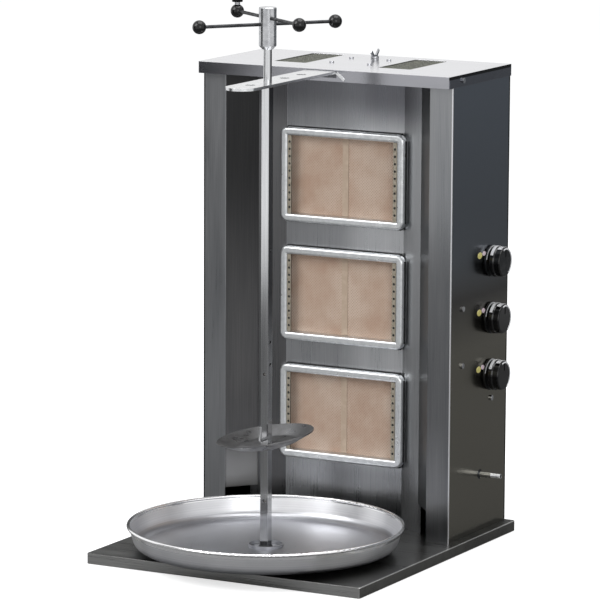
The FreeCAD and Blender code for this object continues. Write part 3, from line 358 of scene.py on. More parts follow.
@dataclass(frozen=True)
class BrushedSteel(Finish):
    """Stainless sheet, belt-ground: long fine scratches one way, with soft cloudy streaks.

    The scratches are a tenth of a millimetre wide on the real sheet. Here they are drawn
    coarser, so that they show from where the camera stands.
    """

    light: str = "#b9babb"
    dark: str = "#97999b"
    tone_span: Pair = (0.32, 0.68)
    grain: Axis = Z
    grain_mm: float = 0.9
    grain_break: float = 0.6
    streak_mm: float = 26.0
    streak_stretch: float = 0.12
    streak_share: float = 0.45
    roughness: float = 0.3
    spread: float = 0.12
    bump: float = 0.5
    bump_mm: float = 0.02
    edge_mm: float = 0.6
    edge_samples: int = 4
    zones: tuple[Zone, ...] = ()

    def inputs(self, tree: NodeTree, place: Node) -> dict:
        """Stretch two noises along the grain for colour, roughness and bump.

        Args:
            tree: the material's node tree.
            place: its Texture Coordinate node.

        Returns:
            What the shader's inputs take.
        """
        scratch = noise(tree, place, 1 / (self.grain_mm * MM), SCRATCH_DETAIL, self.grain,
                        SCRATCH_STRETCH, Roughness=self.grain_break)
        streak = noise(tree, place, 1 / (self.streak_mm * MM), STREAK_DETAIL, self.grain,
                       self.streak_stretch)
        both = mixed(tree, self.streak_share, scratch, streak)
        sheet = ramp(tree, both, zip(self.tone_span, (self.dark, self.light)))
        half = self.spread / 2
        rough = remap(tree, both, NOISE_SPAN, (self.roughness - half, self.roughness + half))
        rounding = add(tree, "Bevel", {"Radius": self.edge_mm * MM}, samples=self.edge_samples)
        return {
            "Base Color": tinted(tree, place, sheet, self.zones), "Roughness": rough,
            "Normal": relief(tree, self.bump, self.bump_mm, scratch, Normal=(rounding, 0)),
            "Metallic": 1.0,
        }


@dataclass(frozen=True)
class CasingSteel(BrushedSteel):
    """Bent stainless casing: flange and inner wall brushed, outer side polished darker.

    The polished side is a deep grey mirror. The ramp up its height paints reflections: a warmer
    foot, a dark band just above the middle, and a lighter bluish head.
    """

    light: str = "#9b9c9e"
    dark: str = "#828487"
    tone_span: Pair = (0.34, 0.66)
    grain_mm: float = 1.0
    grain_break: float = 0.5
    streak_mm: float = 100.0 / 3.0
    streak_stretch: float = 0.1
    streak_share: float = 0.5
    roughness: float = 0.33
    spread: float = 0.14
    bump: float = 0.35
    edge_mm: float = 1.4
    edge_samples: int = 6
    outside_mm: float = 202.2
    fold_mm: float = 178.6
    height_mm: float = 690.0
    # Painted reflections up the side: warm foot, dark band above the middle, lighter bluish head
    side_reflection_tones: tuple[tuple[float, str], ...] = (
        (0.1, "#78756b"), (0.42, "#78756b"), (0.53, "#413f3d"), (0.62, "#6b6f74"),
        (0.95, "#7f858e"),
    )
    side_roughness: float = 0.2
    side_zones: tuple[Zone, ...] = ()

    def inputs(self, tree: NodeTree, place: Node) -> dict:
        """Polish the surface where it lies far out and behind the fold.

        Args:
            tree: the material's node tree.
            place: its Texture Coordinate node.

        Returns:
            What the shader's inputs take.
        """
        brushed = super().inputs(tree, place)
        parts = add(tree, "SeparateXYZ", {0: (place, "Object")})
        reach = maths(tree, "ABSOLUTE", (parts, 0))
        far = maths(tree, "GREATER_THAN", reach, self.outside_mm * MM)
        behind = maths(tree, "GREATER_THAN", (parts, 1), self.fold_mm * MM)
        outside = maths(tree, "MULTIPLY", far, behind)
        height = remap(tree, (parts, 2), (0.0, self.height_mm * MM))
        side = tinted(tree, place, ramp(tree, height, self.side_reflection_tones), self.side_zones)
        return brushed | {
            "Base Color": mixed(tree, outside, brushed["Base Color"], side, "MIX"),
            "Roughness": mixed(tree, outside, brushed["Roughness"], self.side_roughness),
        }


@dataclass(frozen=True)
class SpunAluminium(Finish):
    """Spun aluminium: fine turning rings, a matt haze, a duller floor, and a smoother rim whose
    brighter colour is a painted highlight.
    """

    light: str = "#ececee"
    dark: str = "#cbccd0"
    floor_tint: str = "#c2c3c6"
    floor_mm: Pair = (25.5, 40.0)
    # The rolled rim's near-white colour is a painted highlight; its lower roughness is real polish
    rim: str = "#f6f6f7"
    rim_mm: Pair = (193.8, 53.2)
    rim_roughness: float = 0.16
    ring_mm: float = 1.6
    ring_break: float = 0.7
    haze_per_metre: float = 14.0
    haze_share: float = 0.45
    roughness: float = 0.32
    smoother: float = 0.06
    rougher: float = 0.1
    bump: float = 0.4
    bump_mm: float = 0.03

    def inputs(self, tree: NodeTree, place: Node) -> dict:
        """Turn the distance from the axis into rings.

        Args:
            tree: the material's node tree.
            place: its Texture Coordinate node.

        Returns:
            What the shader's inputs take.
        """
        flat = maths(tree, "MULTIPLY", (place, "Object"), (1.0, 1.0, 0.0), kind="VectorMath")
        radius = maths(tree, "LENGTH", flat, kind="VectorMath")
        rings = (add(tree, "TexNoise", {
            "W": radius, "Scale": 1 / (self.ring_mm * MM), "Detail": SMEAR_DETAIL,
            "Roughness": self.ring_break,
        }, noise_dimensions="1D"), 0)
        haze = noise(tree, place, self.haze_per_metre, SMEAR_DETAIL)
        both = mixed(tree, self.haze_share, rings, haze)
        metal = ramp(tree, both, zip(NOISE_SPAN, (self.dark, self.light)))
        parts = add(tree, "SeparateXYZ", {0: (place, "Object")})
        span = (self.floor_mm[0] * MM, self.floor_mm[1] * MM)
        floor = remap(tree, (parts, 2), span, FALLING, smooth=True)
        tone = mixed(tree, floor, metal, linear(self.floor_tint), "MULTIPLY")
        rough = remap(tree, both, NOISE_SPAN,
                      (self.roughness - self.smoother, self.roughness + self.rougher))
        outer = maths(tree, "GREATER_THAN", radius, self.rim_mm[0] * MM)
        upper = maths(tree, "GREATER_THAN", (parts, 2), self.rim_mm[1] * MM)
        rolled = maths(tree, "MAXIMUM", outer, upper)
        return {
            "Base Color": mixed(tree, rolled, tone, linear(self.rim), "MIX"),
            "Roughness": mixed(tree, rolled, rough, self.rim_roughness),
            "Normal": relief(tree, self.bump, self.bump_mm, rings), "Metallic": 1.0,
        }


@dataclass(frozen=True)
class BrightMetal(Finish):
    """Plated or polished metal with faint smears: chrome, zinc plate, turned brass."""

    colour: str = "#d9dadb"
    smear: str = "#b7b9bb"
    tone_span: Pair = (0.3, 0.65)
    roughness: float = 0.16
    smeared: float = 1.5
    clean: float = 0.8
    smear_mm: float = 9.0
    edge_mm: float = 0.3

    def inputs(self, tree: NodeTree, place: Node) -> dict:
        """Add cloudy smears to colour and roughness.

        Args:
            tree: the material's node tree.
            place: its Texture Coordinate node.

        Returns:
            What the shader's inputs take.
        """
        cloud = noise(tree, place, 1 / (self.smear_mm * MM), SMEAR_DETAIL)
        return {
            "Base Color": ramp(tree, cloud, zip(self.tone_span, (self.smear, self.colour))),
            "Roughness": remap(tree, cloud, NOISE_SPAN,
                               (self.roughness * self.smeared, self.roughness * self.clean)),
            "Normal": (add(tree, "Bevel", {"Radius": self.edge_mm * MM}, samples=4), 0),
            "Metallic": 1.0,
        }


@dataclass(frozen=True)
class BurnerCeramic(Finish):
    """Cordierite burner plaque: pale tan clay pierced by rows of fine holes, browned by heat.

    The real holes are 1.2 mm wide, 2 mm apart. They are drawn 3 mm apart so that the rows show.
    """

    clay: str = "#ccb7a6"
    brown: str = "#b99c88"
    tone_span: Pair = (0.32, 0.62)
    stains_per_metre: float = 24.0
    # The holes' colour is painted shade inside them
    hole: str = "#a98d79"
    pitch_mm: float = 3.0
    hole_mm: float = 1.1
    hole_edge: Pair = (0.8, 1.4)
    row_angle: float = 45.0
    roughness: float = 0.85
    bump: float = 0.6
    bump_mm: float = 0.4

    def inputs(self, tree: NodeTree, place: Node) -> dict:
        """Pierce a staggered grid of dots, painted darker as the shade inside the holes, and stain
        the clay unevenly.

        Args:
            tree: the material's node tree.
            place: its Texture Coordinate node.

        Returns:
            What the shader's inputs take.
        """
        turned = add(tree, "Mapping", {
            "Vector": (place, "Object"), "Rotation": (0.0, math.radians(self.row_angle), 0.0),
        })
        scaled = add(tree, "VectorMath", {0: (turned, 0), 3: 1 / (self.pitch_mm * MM)},
                     operation="SCALE")
        cell = maths(tree, "FRACTION", (scaled, 0), kind="VectorMath")
        centred = maths(tree, "SUBTRACT", cell, (0.5, 0.5, 0.5), kind="VectorMath")
        plane = maths(tree, "MULTIPLY", centred, (1.0, 0.0, 1.0), kind="VectorMath")
        distance = maths(tree, "LENGTH", plane, kind="VectorMath")
        edge = self.hole_mm / self.pitch_mm / 2
        pierced = remap(tree, distance, (edge * self.hole_edge[0], edge * self.hole_edge[1]))
        stain = noise(tree, place, self.stains_per_metre, STAIN_DETAIL)
        clay = ramp(tree, stain, zip(self.tone_span, (self.brown, self.clay)))
        return {
            "Base Color": mixed(tree, pierced, linear(self.hole), clay, "MIX"),
            "Roughness": self.roughness,
            "Normal": relief(tree, self.bump, self.bump_mm, pierced),
        }


@dataclass(frozen=True)
class Moulded(Finish):
    """An even colour with a faint orange-peel skin and some dust: plastic, rubber, enamel."""

    colour: str = "#131314"
    dust: str = "#2a2a2b"
    dust_per_metre: float = 120.0
    tone_span: Pair = (0.45, 0.8)
    roughness: float = 0.16
    dust_span: Pair = (0.35, 0.75)
    dust_roughness: float = 0.12
    peel_mm: float = 1.4
    peel_depth_mm: float = 0.01
    bump: float = 0.4
    ior: float = 1.5

    def inputs(self, tree: NodeTree, place: Node) -> dict:
        """Add dust to the colour and a fine skin to the bump.

        Args:
            tree: the material's node tree.
            place: its Texture Coordinate node.

        Returns:
            What the shader's inputs take.
        """
        cloud = noise(tree, place, self.dust_per_metre, STAIN_DETAIL)
        skin = noise(tree, place, 1 / (self.peel_mm * MM), STREAK_DETAIL)
        return {
            "Base Color": ramp(tree, cloud, zip(self.tone_span, (self.colour, self.dust))),
            "Roughness": remap(tree, cloud, self.dust_span,
                               (self.roughness, self.roughness + self.dust_roughness)),
            "Normal": relief(tree, self.bump, self.peel_depth_mm, skin), "IOR": self.ior,
        }


# Upright grain, as the sheet was bent from a belt-ground coil
UPRIGHT_STEEL = BrushedSteel(
    "belt_ground_stainless_upright", light="#aeafb1", dark="#a1a3a5", streak_mm=60.0, spread=0.06,
)
# The panel behind the skewer is paler. Its zones paint shade: a darker left half and left slanted
# strip, a slightly darker right strip, and darker bands at the top, most on the right, and at the
# foot on the right.
PANEL_STEEL = BrushedSteel(
    "belt_ground_stainless_panel", light="#c7c8ca", dark="#aeb0b3",
    zones=(
        Zone("#d4d4d5", (Span(X, -150.0, -15.0, 55.0),)),
        Zone("#a4a3a2", (Span(X, -150.0, -96.3),)),
        Zone("#e6e6e6", (Span(X, 96.3, 150.0),)),
        Zone("#bcbcbf", (Span(Z, 650.0, 700.0, 60.0),)),
        Zone("#c8c8cb", (Span(X, 50.0, 96.2, 60.0), Span(Z, 640.0, 700.0, 60.0))),
        Zone("#c8c8c8", (Span(X, 0.0, 96.2, 50.0), Span(Z, 0.0, 85.0, 45.0))),
    ),
)
# A brushed front and a dark mirror side. Its zones paint shade and reflections: darker inner walls,
# the left one darkest near its top and lighter at its foot, a darker lower right flange, a painted
# highlight along the right fold, and painted dark lines at the left fold and along the side's back
# edge.
CASING_STEEL = CasingSteel(
    "stainless_casing",
    zones=(
        Zone("#b8b6b5", (Span(X, -165.6, -120.0),)),
        Zone("#8c8c8c", (Span(X, -165.6, -120.0), Span(Z, 560.0, 700.0, 350.0))),
        Zone("#d4d4d4", (Span(X, 120.0, 165.6),)),
        Zone("#d0d0d0", (Span(X, 165.8, 204.0), Span(Z, 0.0, 380.0, 150.0))),
        Zone("#e6e6e8", (Span(X, 201.2, 204.0, 0.4), Span(Y, 175.0, 178.6)),
             painted_light=True),
        Zone("#929292", (Span(X, -164.8, -120.0), Span(Z, 0.0, 80.0, 70.0)),
             painted_light=True),
        Zone("#565658", (Span(X, -204.0, -200.8, 0.6),)),
    ),
    side_zones=(Zone("#3a3a3a", (Span(Y, 360.4, 366.0, 0.6),)),),
)
# Tray and cover: the grain runs across. Their zones paint shade: darker sides, a darker tray top
# and cover front, and a painted highlight along the tray's right top edge. The cover's right side
# also has a near-black line high up.
TRAY_STEEL = BrushedSteel(
    "belt_ground_stainless_tray", light="#b6b6b5", dark="#969695", grain=X, edge_mm=1.2,
    zones=(
        Zone("#bcbcbb", (Span(Z, 15.6, 17.0),)),
        Zone("#9e9e9a", (Span(X, 218.5, 220.0),)),
        Zone("#9e9e9a", (Span(X, -220.0, -218.5),)),
        Zone("#ecece9", (Span(X, 217.4, 220.0), Span(Z, 15.0, 17.0)), painted_light=True),
    ),
)
COVER_STEEL = BrushedSteel(
    "polished_stainless_cover", light="#d3d3d7", dark="#c1c2c6", grain=X, roughness=0.18,
    spread=0.06,
    zones=(
        Zone("#c0c0c2", (Span(Y, 150.0, 162.8),)),
        Zone("#94969c", (Span(X, 203.2, 210.0),)),
        Zone("#303032", (Span(X, 203.2, 210.0), Span(Z, 688.0, 692.5, 1.0))),
        Zone("#7f8084", (Span(X, -210.0, -203.2),)),
    ),
)
# Drawn bar takes sharp highlights along its length
BAR_STEEL = BrushedSteel(
    "drawn_stainless_bar", light="#d4d5d6", dark="#a7a8aa", roughness=0.14, spread=0.06,
    grain_mm=0.8, edge_mm=0.4,
)
# The skewer's zones paint shade: its right face darker higher up, and its other faces a little
# darker at the foot.
SKEWER_STEEL = BrushedSteel(
    "drawn_stainless_skewer", light="#d8d9da", dark="#adaeb0", roughness=0.14, spread=0.06,
    grain_mm=0.8, edge_mm=0.4,
    zones=(
        Zone("#78787a", (Span(X, 5.5, 6.6), Span(Z, 400.0, 800.0, 120.0))),
        Zone("#cecece", (Span(X, -7.0, 5.4), Span(Z, 0.0, 360.0, 80.0))),
    ),
)
# The arm's grain runs to the front, which keeps it a pale even bar
ARM_STEEL = BrushedSteel(
    "drawn_stainless_flat", light="#e2e3e4", dark="#c2c3c5", grain=Y, roughness=0.22,
    edge_mm=0.4,
)
# Galvanised inner sheet and pipes are greyer and duller than the outside
INNER_STEEL = BrushedSteel(
    "galvanised_inner_sheet", light="#9ea2a4", dark="#7c8083", roughness=0.45,
)
# The palest metal: soft rings, and a bright line round the rolled rim that is partly a painted
# highlight
PAN_ALUMINIUM = SpunAluminium("spun_aluminium")
# Satin plate makes the burner frames a soft pale outline
FRAME_PLATE = BrightMetal("satin_zinc_frame", colour="#e8eaeb", smear="#d0d3d5", roughness=0.32)
# A clear mirror for the small nozzle
CHROME = BrightMetal("bright_chrome", roughness=0.08)
# Turned steel has a softer shine than chrome
TURNED_STEEL = BrightMetal("turned_stainless", colour="#c1c2c4", smear="#9d9ea1", roughness=0.2)
# The dish is darkened by fat, in wide smears
DISH_STEEL = BrightMetal(
    "spun_stainless_dish", colour="#8e8e8f", smear="#777778", roughness=0.3, smear_mm=20.0,
)
# Warm yellow taps and injectors, in the dark behind the panels
BRASS = BrightMetal("turned_brass", colour="#c8a45a", smear="#9d7c3c", roughness=0.25)
# Matt tan plaques with faint rows of holes
CERAMIC = BurnerCeramic("cordierite_plaque")
# A chalky pale strip, rougher than the clay beside it
FIBRE = Moulded(
    "ceramic_fibre_strip", colour="#bda894", dust="#cdbaa6", roughness=0.8, peel_mm=0.8,
    peel_depth_mm=0.15,
)
# Heat has turned the guards yellowish and matt
SOOTED_STEEL = BrightMetal(
    "sooted_guard_steel", colour="#bdb5a6", smear="#9a9283", roughness=0.45, smear_mm=5.0,
)
# Oil leaves the rods and bezels dark grey with a low shine
OILED_STEEL = BrightMetal("oiled_dark_steel", colour="#4a4b4d", smear="#303133", roughness=0.35)
# Small glossy marks: pale yellow and a pink that is nearly white. The white pieces on the knobs are
# painted highlights
YELLOW_ENAMEL = Moulded("yellow_enamel_mark", colour="#e3d989", dust="#cfc268", roughness=0.25)
KNOB_HIGHLIGHT_WHITE = Moulded("painted_knob_highlight", colour="#f2f2f4", dust="#dcdce0", roughness=0.2)
PINK_ENAMEL = Moulded("pale_pink_enamel_mark", colour="#eedbe4", dust="#dcc3cf", roughness=0.25)
# Knobs, balls and grip are deep black with small sharp highlights
BAKELITE = Moulded(
    "black_bakelite", colour="#0a0a0b", dust="#18181a", roughness=0.08, ior=1.42,
)
# A matt black line round each burner frame: painted shade in the gap between its bead and the panel
FRAME_SHADE_BLACK = Moulded(
    "painted_frame_shade", colour="#141415", dust="#222223", roughness=0.7, peel_depth_mm=0.05,
)
# Feet and seals are a dusty black without shine
RUBBER = Moulded(
    "black_rubber", colour="#1b1b1b", dust="#333333", roughness=0.6, peel_depth_mm=0.05,
)
# The vents' mesh is stained olive by heat
MESH_PAINT = Moulded("heat_stained_mesh", colour="#4b4c43", dust="#787a6b", roughness=0.5)


def dress(finish: Finish, *nodes: str) -> None:
    """Give CAD nodes a finish.

    Args:
        finish: the finish.
        nodes: names of the nodes.
    """
    for name in nodes:
        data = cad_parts[name].data
        data.materials.clear()
        data.materials.append(finish.material())


def numbered(stem: str) -> list[str]:
    """Name a sub-part that comes three times.

    Args:
        stem: the name without its number.

    Returns:
        The three names.
    """
    return [f"{stem}_{number}" for number in (1, 2, 3)]


def meshed(name: str, bm: BMesh) -> Mesh:
    """Turn mesh data into a mesh.

    Args:
        name: the mesh's name.
        bm: its data, which is freed.

    Returns:
        The new mesh.
    """
    mesh = bpy.data.meshes.new(name)
    bm.to_mesh(mesh)
    bm.free()
    return mesh


def put(name: str, data: ID) -> Object:
    """Add an object to the scene.

    Args:
        name: the object's name.
        data: its mesh, light or camera.

    Returns:
        The new object.
    """
    made = bpy.data.objects.new(name, data)
    bpy.context.scene.collection.objects.link(made)
    return made


def place_piece(name: str, bm: BMesh, finish: Finish, body: str, smooth: bool = False) -> None:
    """Turn mesh data in millimetres into a piece with a finish that rides on a body.

    Args:
        name: the piece's name.
        bm: its mesh, in millimetres, where the piece sits. It is freed.
        finish: its finish.
        body: the body that carries it.
        smooth: whether its faces are shaded smooth.
    """
    bmesh.ops.scale(bm, vec=(MM, MM, MM), verts=bm.verts)
    bmesh.ops.recalc_face_normals(bm, faces=bm.faces)
    for face in bm.faces:
        face.smooth = smooth
    mesh = meshed(name, bm)
    mesh.materials.append(finish.material())
    made = put(name, mesh)
    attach(made, body)


def bar(bm: BMesh, low: Point, high: Point, rounding: float) -> None:
    """Add a strip with rounded edges between two corners.

    Args:
        bm: the mesh to add to.
        low: its lowest corner, in millimetres.
        high: its highest corner.
        rounding: how far its edges are rounded.
    """
    size = [high[i] - low[i] for i in range(3)]
    middle = [(high[i] + low[i]) / 2 for i in range(3)]
    corners = bmesh.ops.create_cube(bm, size=1.0)["verts"]
    bmesh.ops.scale(bm, vec=size, verts=corners)
    bmesh.ops.translate(bm, vec=middle, verts=corners)
    edges = list({edge for corner in corners for edge in corner.link_edges})
    bmesh.ops.bevel(bm, geom=edges, offset=rounding, segments=2, affect="EDGES")


def sweep(bm: BMesh, centre: Point, parts: list, angles: Iterable[float], steps: int) -> None:
    """Sweep parts of a mesh round an axis along X.

    Args:
        bm: the mesh.
        centre: a point on the axis, in millimetres.
        parts: the faces, edges and corners that are swept, at no angle.
        angles: where the sweep starts and stops, in degrees.
        steps: how many steps it takes.
    """
    start, stop = (math.radians(angle) for angle in angles)
    corners = [part for part in parts if isinstance(part, BMVert)]
    bmesh.ops.rotate(bm, cent=centre, matrix=Matrix.Rotation(start, 3, "X"), verts=corners)
    bmesh.ops.spin(bm, geom=parts, cent=centre, axis=ALONG_X, angle=stop - start, steps=steps,
                   use_duplicate=False)


@dataclass
class SteelBody:
    """The tray, casings, panels and cover, all bent sheet."""

    foot_plan_mm: tuple[Pair, ...] = (
        (96.3, 237.0), (133.6, 218.4), (141.2, 209.4),
    )
    foot_thick_mm: float = 0.5
    seal_mm: Point = (199.0, 3.0, 9.0)
    seal_rounding_mm: float = 1.0
    tongue_mm: Point = (17.0, 4.6, 0.5)
    tongue_rounding_mm: float = 0.2
    tongue_root_mm: Pair = (23.4, 688.2)
    tongue_lean: float = 39.0

    def build(self) -> None:
        """Dress the sheet-metal nodes, and add the foot, the seal and the tongue."""
        dress(TRAY_STEEL, "base_tray")
        dress(CASING_STEEL, "casing_left", "casing_right")
        dress(PANEL_STEEL, "reflector_panel")
        dress(UPRIGHT_STEEL, "back_panel")
        dress(COVER_STEEL, "top_cover", "guide_rivets")
        dress(INNER_STEEL, "base_stiffener", "burner_bay_floor", "arm_guide", "clamp_nut",
              "pan_guides")
        dress(MESH_PAINT, "vent_meshes")
        dress(RUBBER, "rubber_feet")
        dress(TURNED_STEEL, "casing_screws", "cover_screws", "back_screws")
        self.panel_foot()
        self.foot_seal()
        self.slot_tongue()

    def panel_foot(self) -> None:
        """A bent sheet that carries the panel and its slanted strips down to the tray."""
        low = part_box("base_tray")[1][2] / MM + TRIM_PLAY_MM
        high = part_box("reflector_panel")[0][2] / MM
        plan = [(-x, y) for x, y in reversed(self.foot_plan_mm)] + list(self.foot_plan_mm)
        bm = bmesh.new()
        corners = [bm.verts.new((x, y, low)) for x, y in plan]
        edges = [bm.edges.new(pair) for pair in zip(corners, corners[1:])]
        risen = bmesh.ops.extrude_edge_only(bm, edges=edges)["geom"]
        tops = [part for part in risen if isinstance(part, BMVert)]
        bmesh.ops.translate(bm, vec=(0.0, 0.0, high - low), verts=tops)
        bmesh.ops.solidify(bm, geom=bm.faces[:], thickness=self.foot_thick_mm)
        place_piece("panel_foot", bm, PANEL_STEEL, BODY)

    def foot_seal(self) -> None:
        """A rubber strip that closes the gap between the back panel's foot and the tray."""
        half, deep, tall = self.seal_mm
        tray_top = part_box("base_tray")[1][2] / MM
        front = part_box("back_panel")[0][1] / MM
        bm = bmesh.new()
        bar(bm, (-half, front - deep, tray_top), (half, front, tray_top + tall),
            self.seal_rounding_mm)
        place_piece("foot_seal", bm, RUBBER, BODY)

    def slot_tongue(self) -> None:
        """The bright tongue cut free at the arm's slot and bent down over the cover's front."""
        long, wide, thick = self.tongue_mm
        across, level = self.tongue_root_mm
        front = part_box("top_cover")[0][1] / MM + TRIM_PLAY_MM
        lean = Matrix.Rotation(math.radians(self.tongue_lean), 3, "Y")
        bm = bmesh.new()
        bar(bm, (0.0, -thick, -wide / 2), (long, 0.0, wide / 2), self.tongue_rounding_mm)
        bmesh.ops.rotate(bm, matrix=lean, verts=bm.verts)
        bmesh.ops.translate(bm, vec=(across, front, level), verts=bm.verts)
        place_piece("slot_tongue", bm, ARM_STEEL, BODY)


@dataclass
class Burners:
    """Three burners: frame, plaques, the gas box behind, and the small trim in each window."""

    window_half_mm: float = 89.3
    window_rise_mm: float = 57.5
    guard_wide_mm: float = 6.0
    guard_thick_mm: float = 0.4
    guard_behind_mm: float = 2.4
    hole_mm: float = 3.8
    hole_pitch_mm: float = 10.7
    # A dark strip behind each pierced strip paints the shade seen through its holes
    end_gasket_mm: Pair = (0.5, 2.0)
    end_rounding_mm: float = 0.2
    seam_wide_mm: float = 10.0
    seam_behind_mm: Pair = (0.55, 1.15)
    seam_rounding_mm: float = 0.25
    # A black line round each frame that paints the shade in the gap behind its bead
    shade_line_half_mm: float = 94.0
    shade_line_deep_mm: float = 4.2
    shade_line_out_mm: float = 1.1
    shade_line_in_mm: float = 2.0
    shade_line_step_mm: float = 2.6
    shade_line_corner_mm: float = 9.0
    shade_line_rounding_mm: float = 0.4

    def build(self) -> None:
        """Dress the burners' nodes and trim their windows."""
        dress(FRAME_PLATE, *numbered("burner_frame"))
        dress(CERAMIC, *numbered("ceramic_plaques"))
        dress(INNER_STEEL, *numbered("burner_box"), "venturi_tubes")
        dress(BRASS, "injectors")
        for number, name in enumerate(numbered("burner_frame"), 1):
            low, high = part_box(name)
            middle = (low[2] + high[2]) / 2 / MM
            self.guards(number, low[1] / MM + self.guard_behind_mm, middle)
            self.frame_shade_line(number, low, high)
            self.seam(number, high[1] / MM, middle)

    def frame_shade_line(self, number: int, low: Vector, high: Vector) -> None:
        """A dark line round the frame, between its bead and the panel: painted shade in that gap.

        Args:
            number: which of the three it is.
            low: the frame's lowest corner, in metres.
            high: its highest corner.
        """
        back = high[1] / MM - TRIM_PLAY_MM
        front = back - self.shade_line_deep_mm
        out, inward = self.shade_line_out_mm, self.shade_line_in_mm
        foot = low[2] / MM + self.shade_line_corner_mm
        head = high[2] / MM - self.shade_line_corner_mm
        bm = bmesh.new()
        for facing in (-1, 1):
            side = facing * high[0] / MM
            level = (high[2] if facing > 0 else low[2]) / MM
            across = sorted((side - facing * inward, side + facing * out))
            upward = sorted((level - facing * inward, level + facing * out))
            bar(bm, (-self.shade_line_half_mm, front, upward[0]),
                (self.shade_line_half_mm, back, upward[1]), self.shade_line_rounding_mm)
            bar(bm, (across[0], front - self.shade_line_step_mm, foot), (across[1], front, head),
                self.shade_line_rounding_mm)
        place_piece(f"frame_shade_line_{number}", bm, FRAME_SHADE_BLACK, BODY)

    def guards(self, number: int, front: float, middle: float) -> None:
        """Pierced steel strips at both ends of the window, over a dark strip that paints the shade
        seen through their holes.

        Args:
            number: which of the three it is.
            front: y of the strips' front, in millimetres.
            middle: z of the window's middle.
        """
        near, far = self.end_gasket_mm
        half = self.guard_wide_mm / 2 - TRIM_PLAY_MM
        bm = bmesh.new()
        backing_shade = bmesh.new()
        for facing in (-1, 1):
            across = facing * (self.window_half_mm - self.guard_wide_mm / 2)
            self.pierced_strip(bm, across, front, middle)
            bar(backing_shade, (across - half, front + near, middle - self.window_rise_mm),
                (across + half, front + far, middle + self.window_rise_mm), self.end_rounding_mm)
        place_piece(f"end_guards_{number}", bm, SOOTED_STEEL, BODY)
        place_piece(f"end_gasket_{number}", backing_shade, RUBBER, BODY)

    def pierced_strip(self, bm: BMesh, across: float, front: float, middle: float) -> None:
        """Add one upright strip with a row of round holes.

        Args:
            bm: the mesh to add to.
            across: x of the strip's middle.
            front: y of its front face.
            middle: z of its middle.
        """
        strip = bmesh.new()
        size = (self.guard_wide_mm, 2 * self.window_rise_mm, 1.0)
        bmesh.ops.create_grid(strip, x_segments=1, y_segments=1, size=0.5)
        bmesh.ops.scale(strip, vec=size, verts=strip.verts)
        bmesh.ops.delete(strip, geom=strip.faces[:], context="FACES_ONLY")
        count = int(2 * self.window_rise_mm / self.hole_pitch_mm)
        for index in range(count):
            up = (index - (count - 1) / 2) * self.hole_pitch_mm
            bmesh.ops.create_circle(
                strip, cap_ends=False, segments=20, radius=self.hole_mm / 2,
                matrix=Matrix.Translation((0.0, up, 0.0)),
            )
        bmesh.ops.triangle_fill(strip, use_beauty=True, edges=strip.edges)
        bmesh.ops.solidify(strip, geom=strip.faces[:], thickness=self.guard_thick_mm)
        upright = Matrix.Rotation(math.radians(90.0), 4, "X")
        turn = Matrix.Translation((across, front, middle)) @ upright
        bmesh.ops.transform(strip, matrix=turn, verts=strip.verts)
        part = meshed("strip", strip)
        bm.from_mesh(part)
        bpy.data.meshes.remove(part)

    def seam(self, number: int, back: float, middle: float) -> None:
        """A pale fibre strip that covers the joint of the two plaques.

        Args:
            number: which of the three it is.
            back: y of the frame's back, in millimetres.
            middle: z of the window's middle.
        """
        half = self.seam_wide_mm / 2
        near, far = self.seam_behind_mm
        bm = bmesh.new()
        bar(bm, (-half, back + near, middle - self.window_rise_mm),
            (half, back + far, middle + self.window_rise_mm), self.seam_rounding_mm)
        place_piece(f"plaque_seam_{number}", bm, FIBRE, BODY)


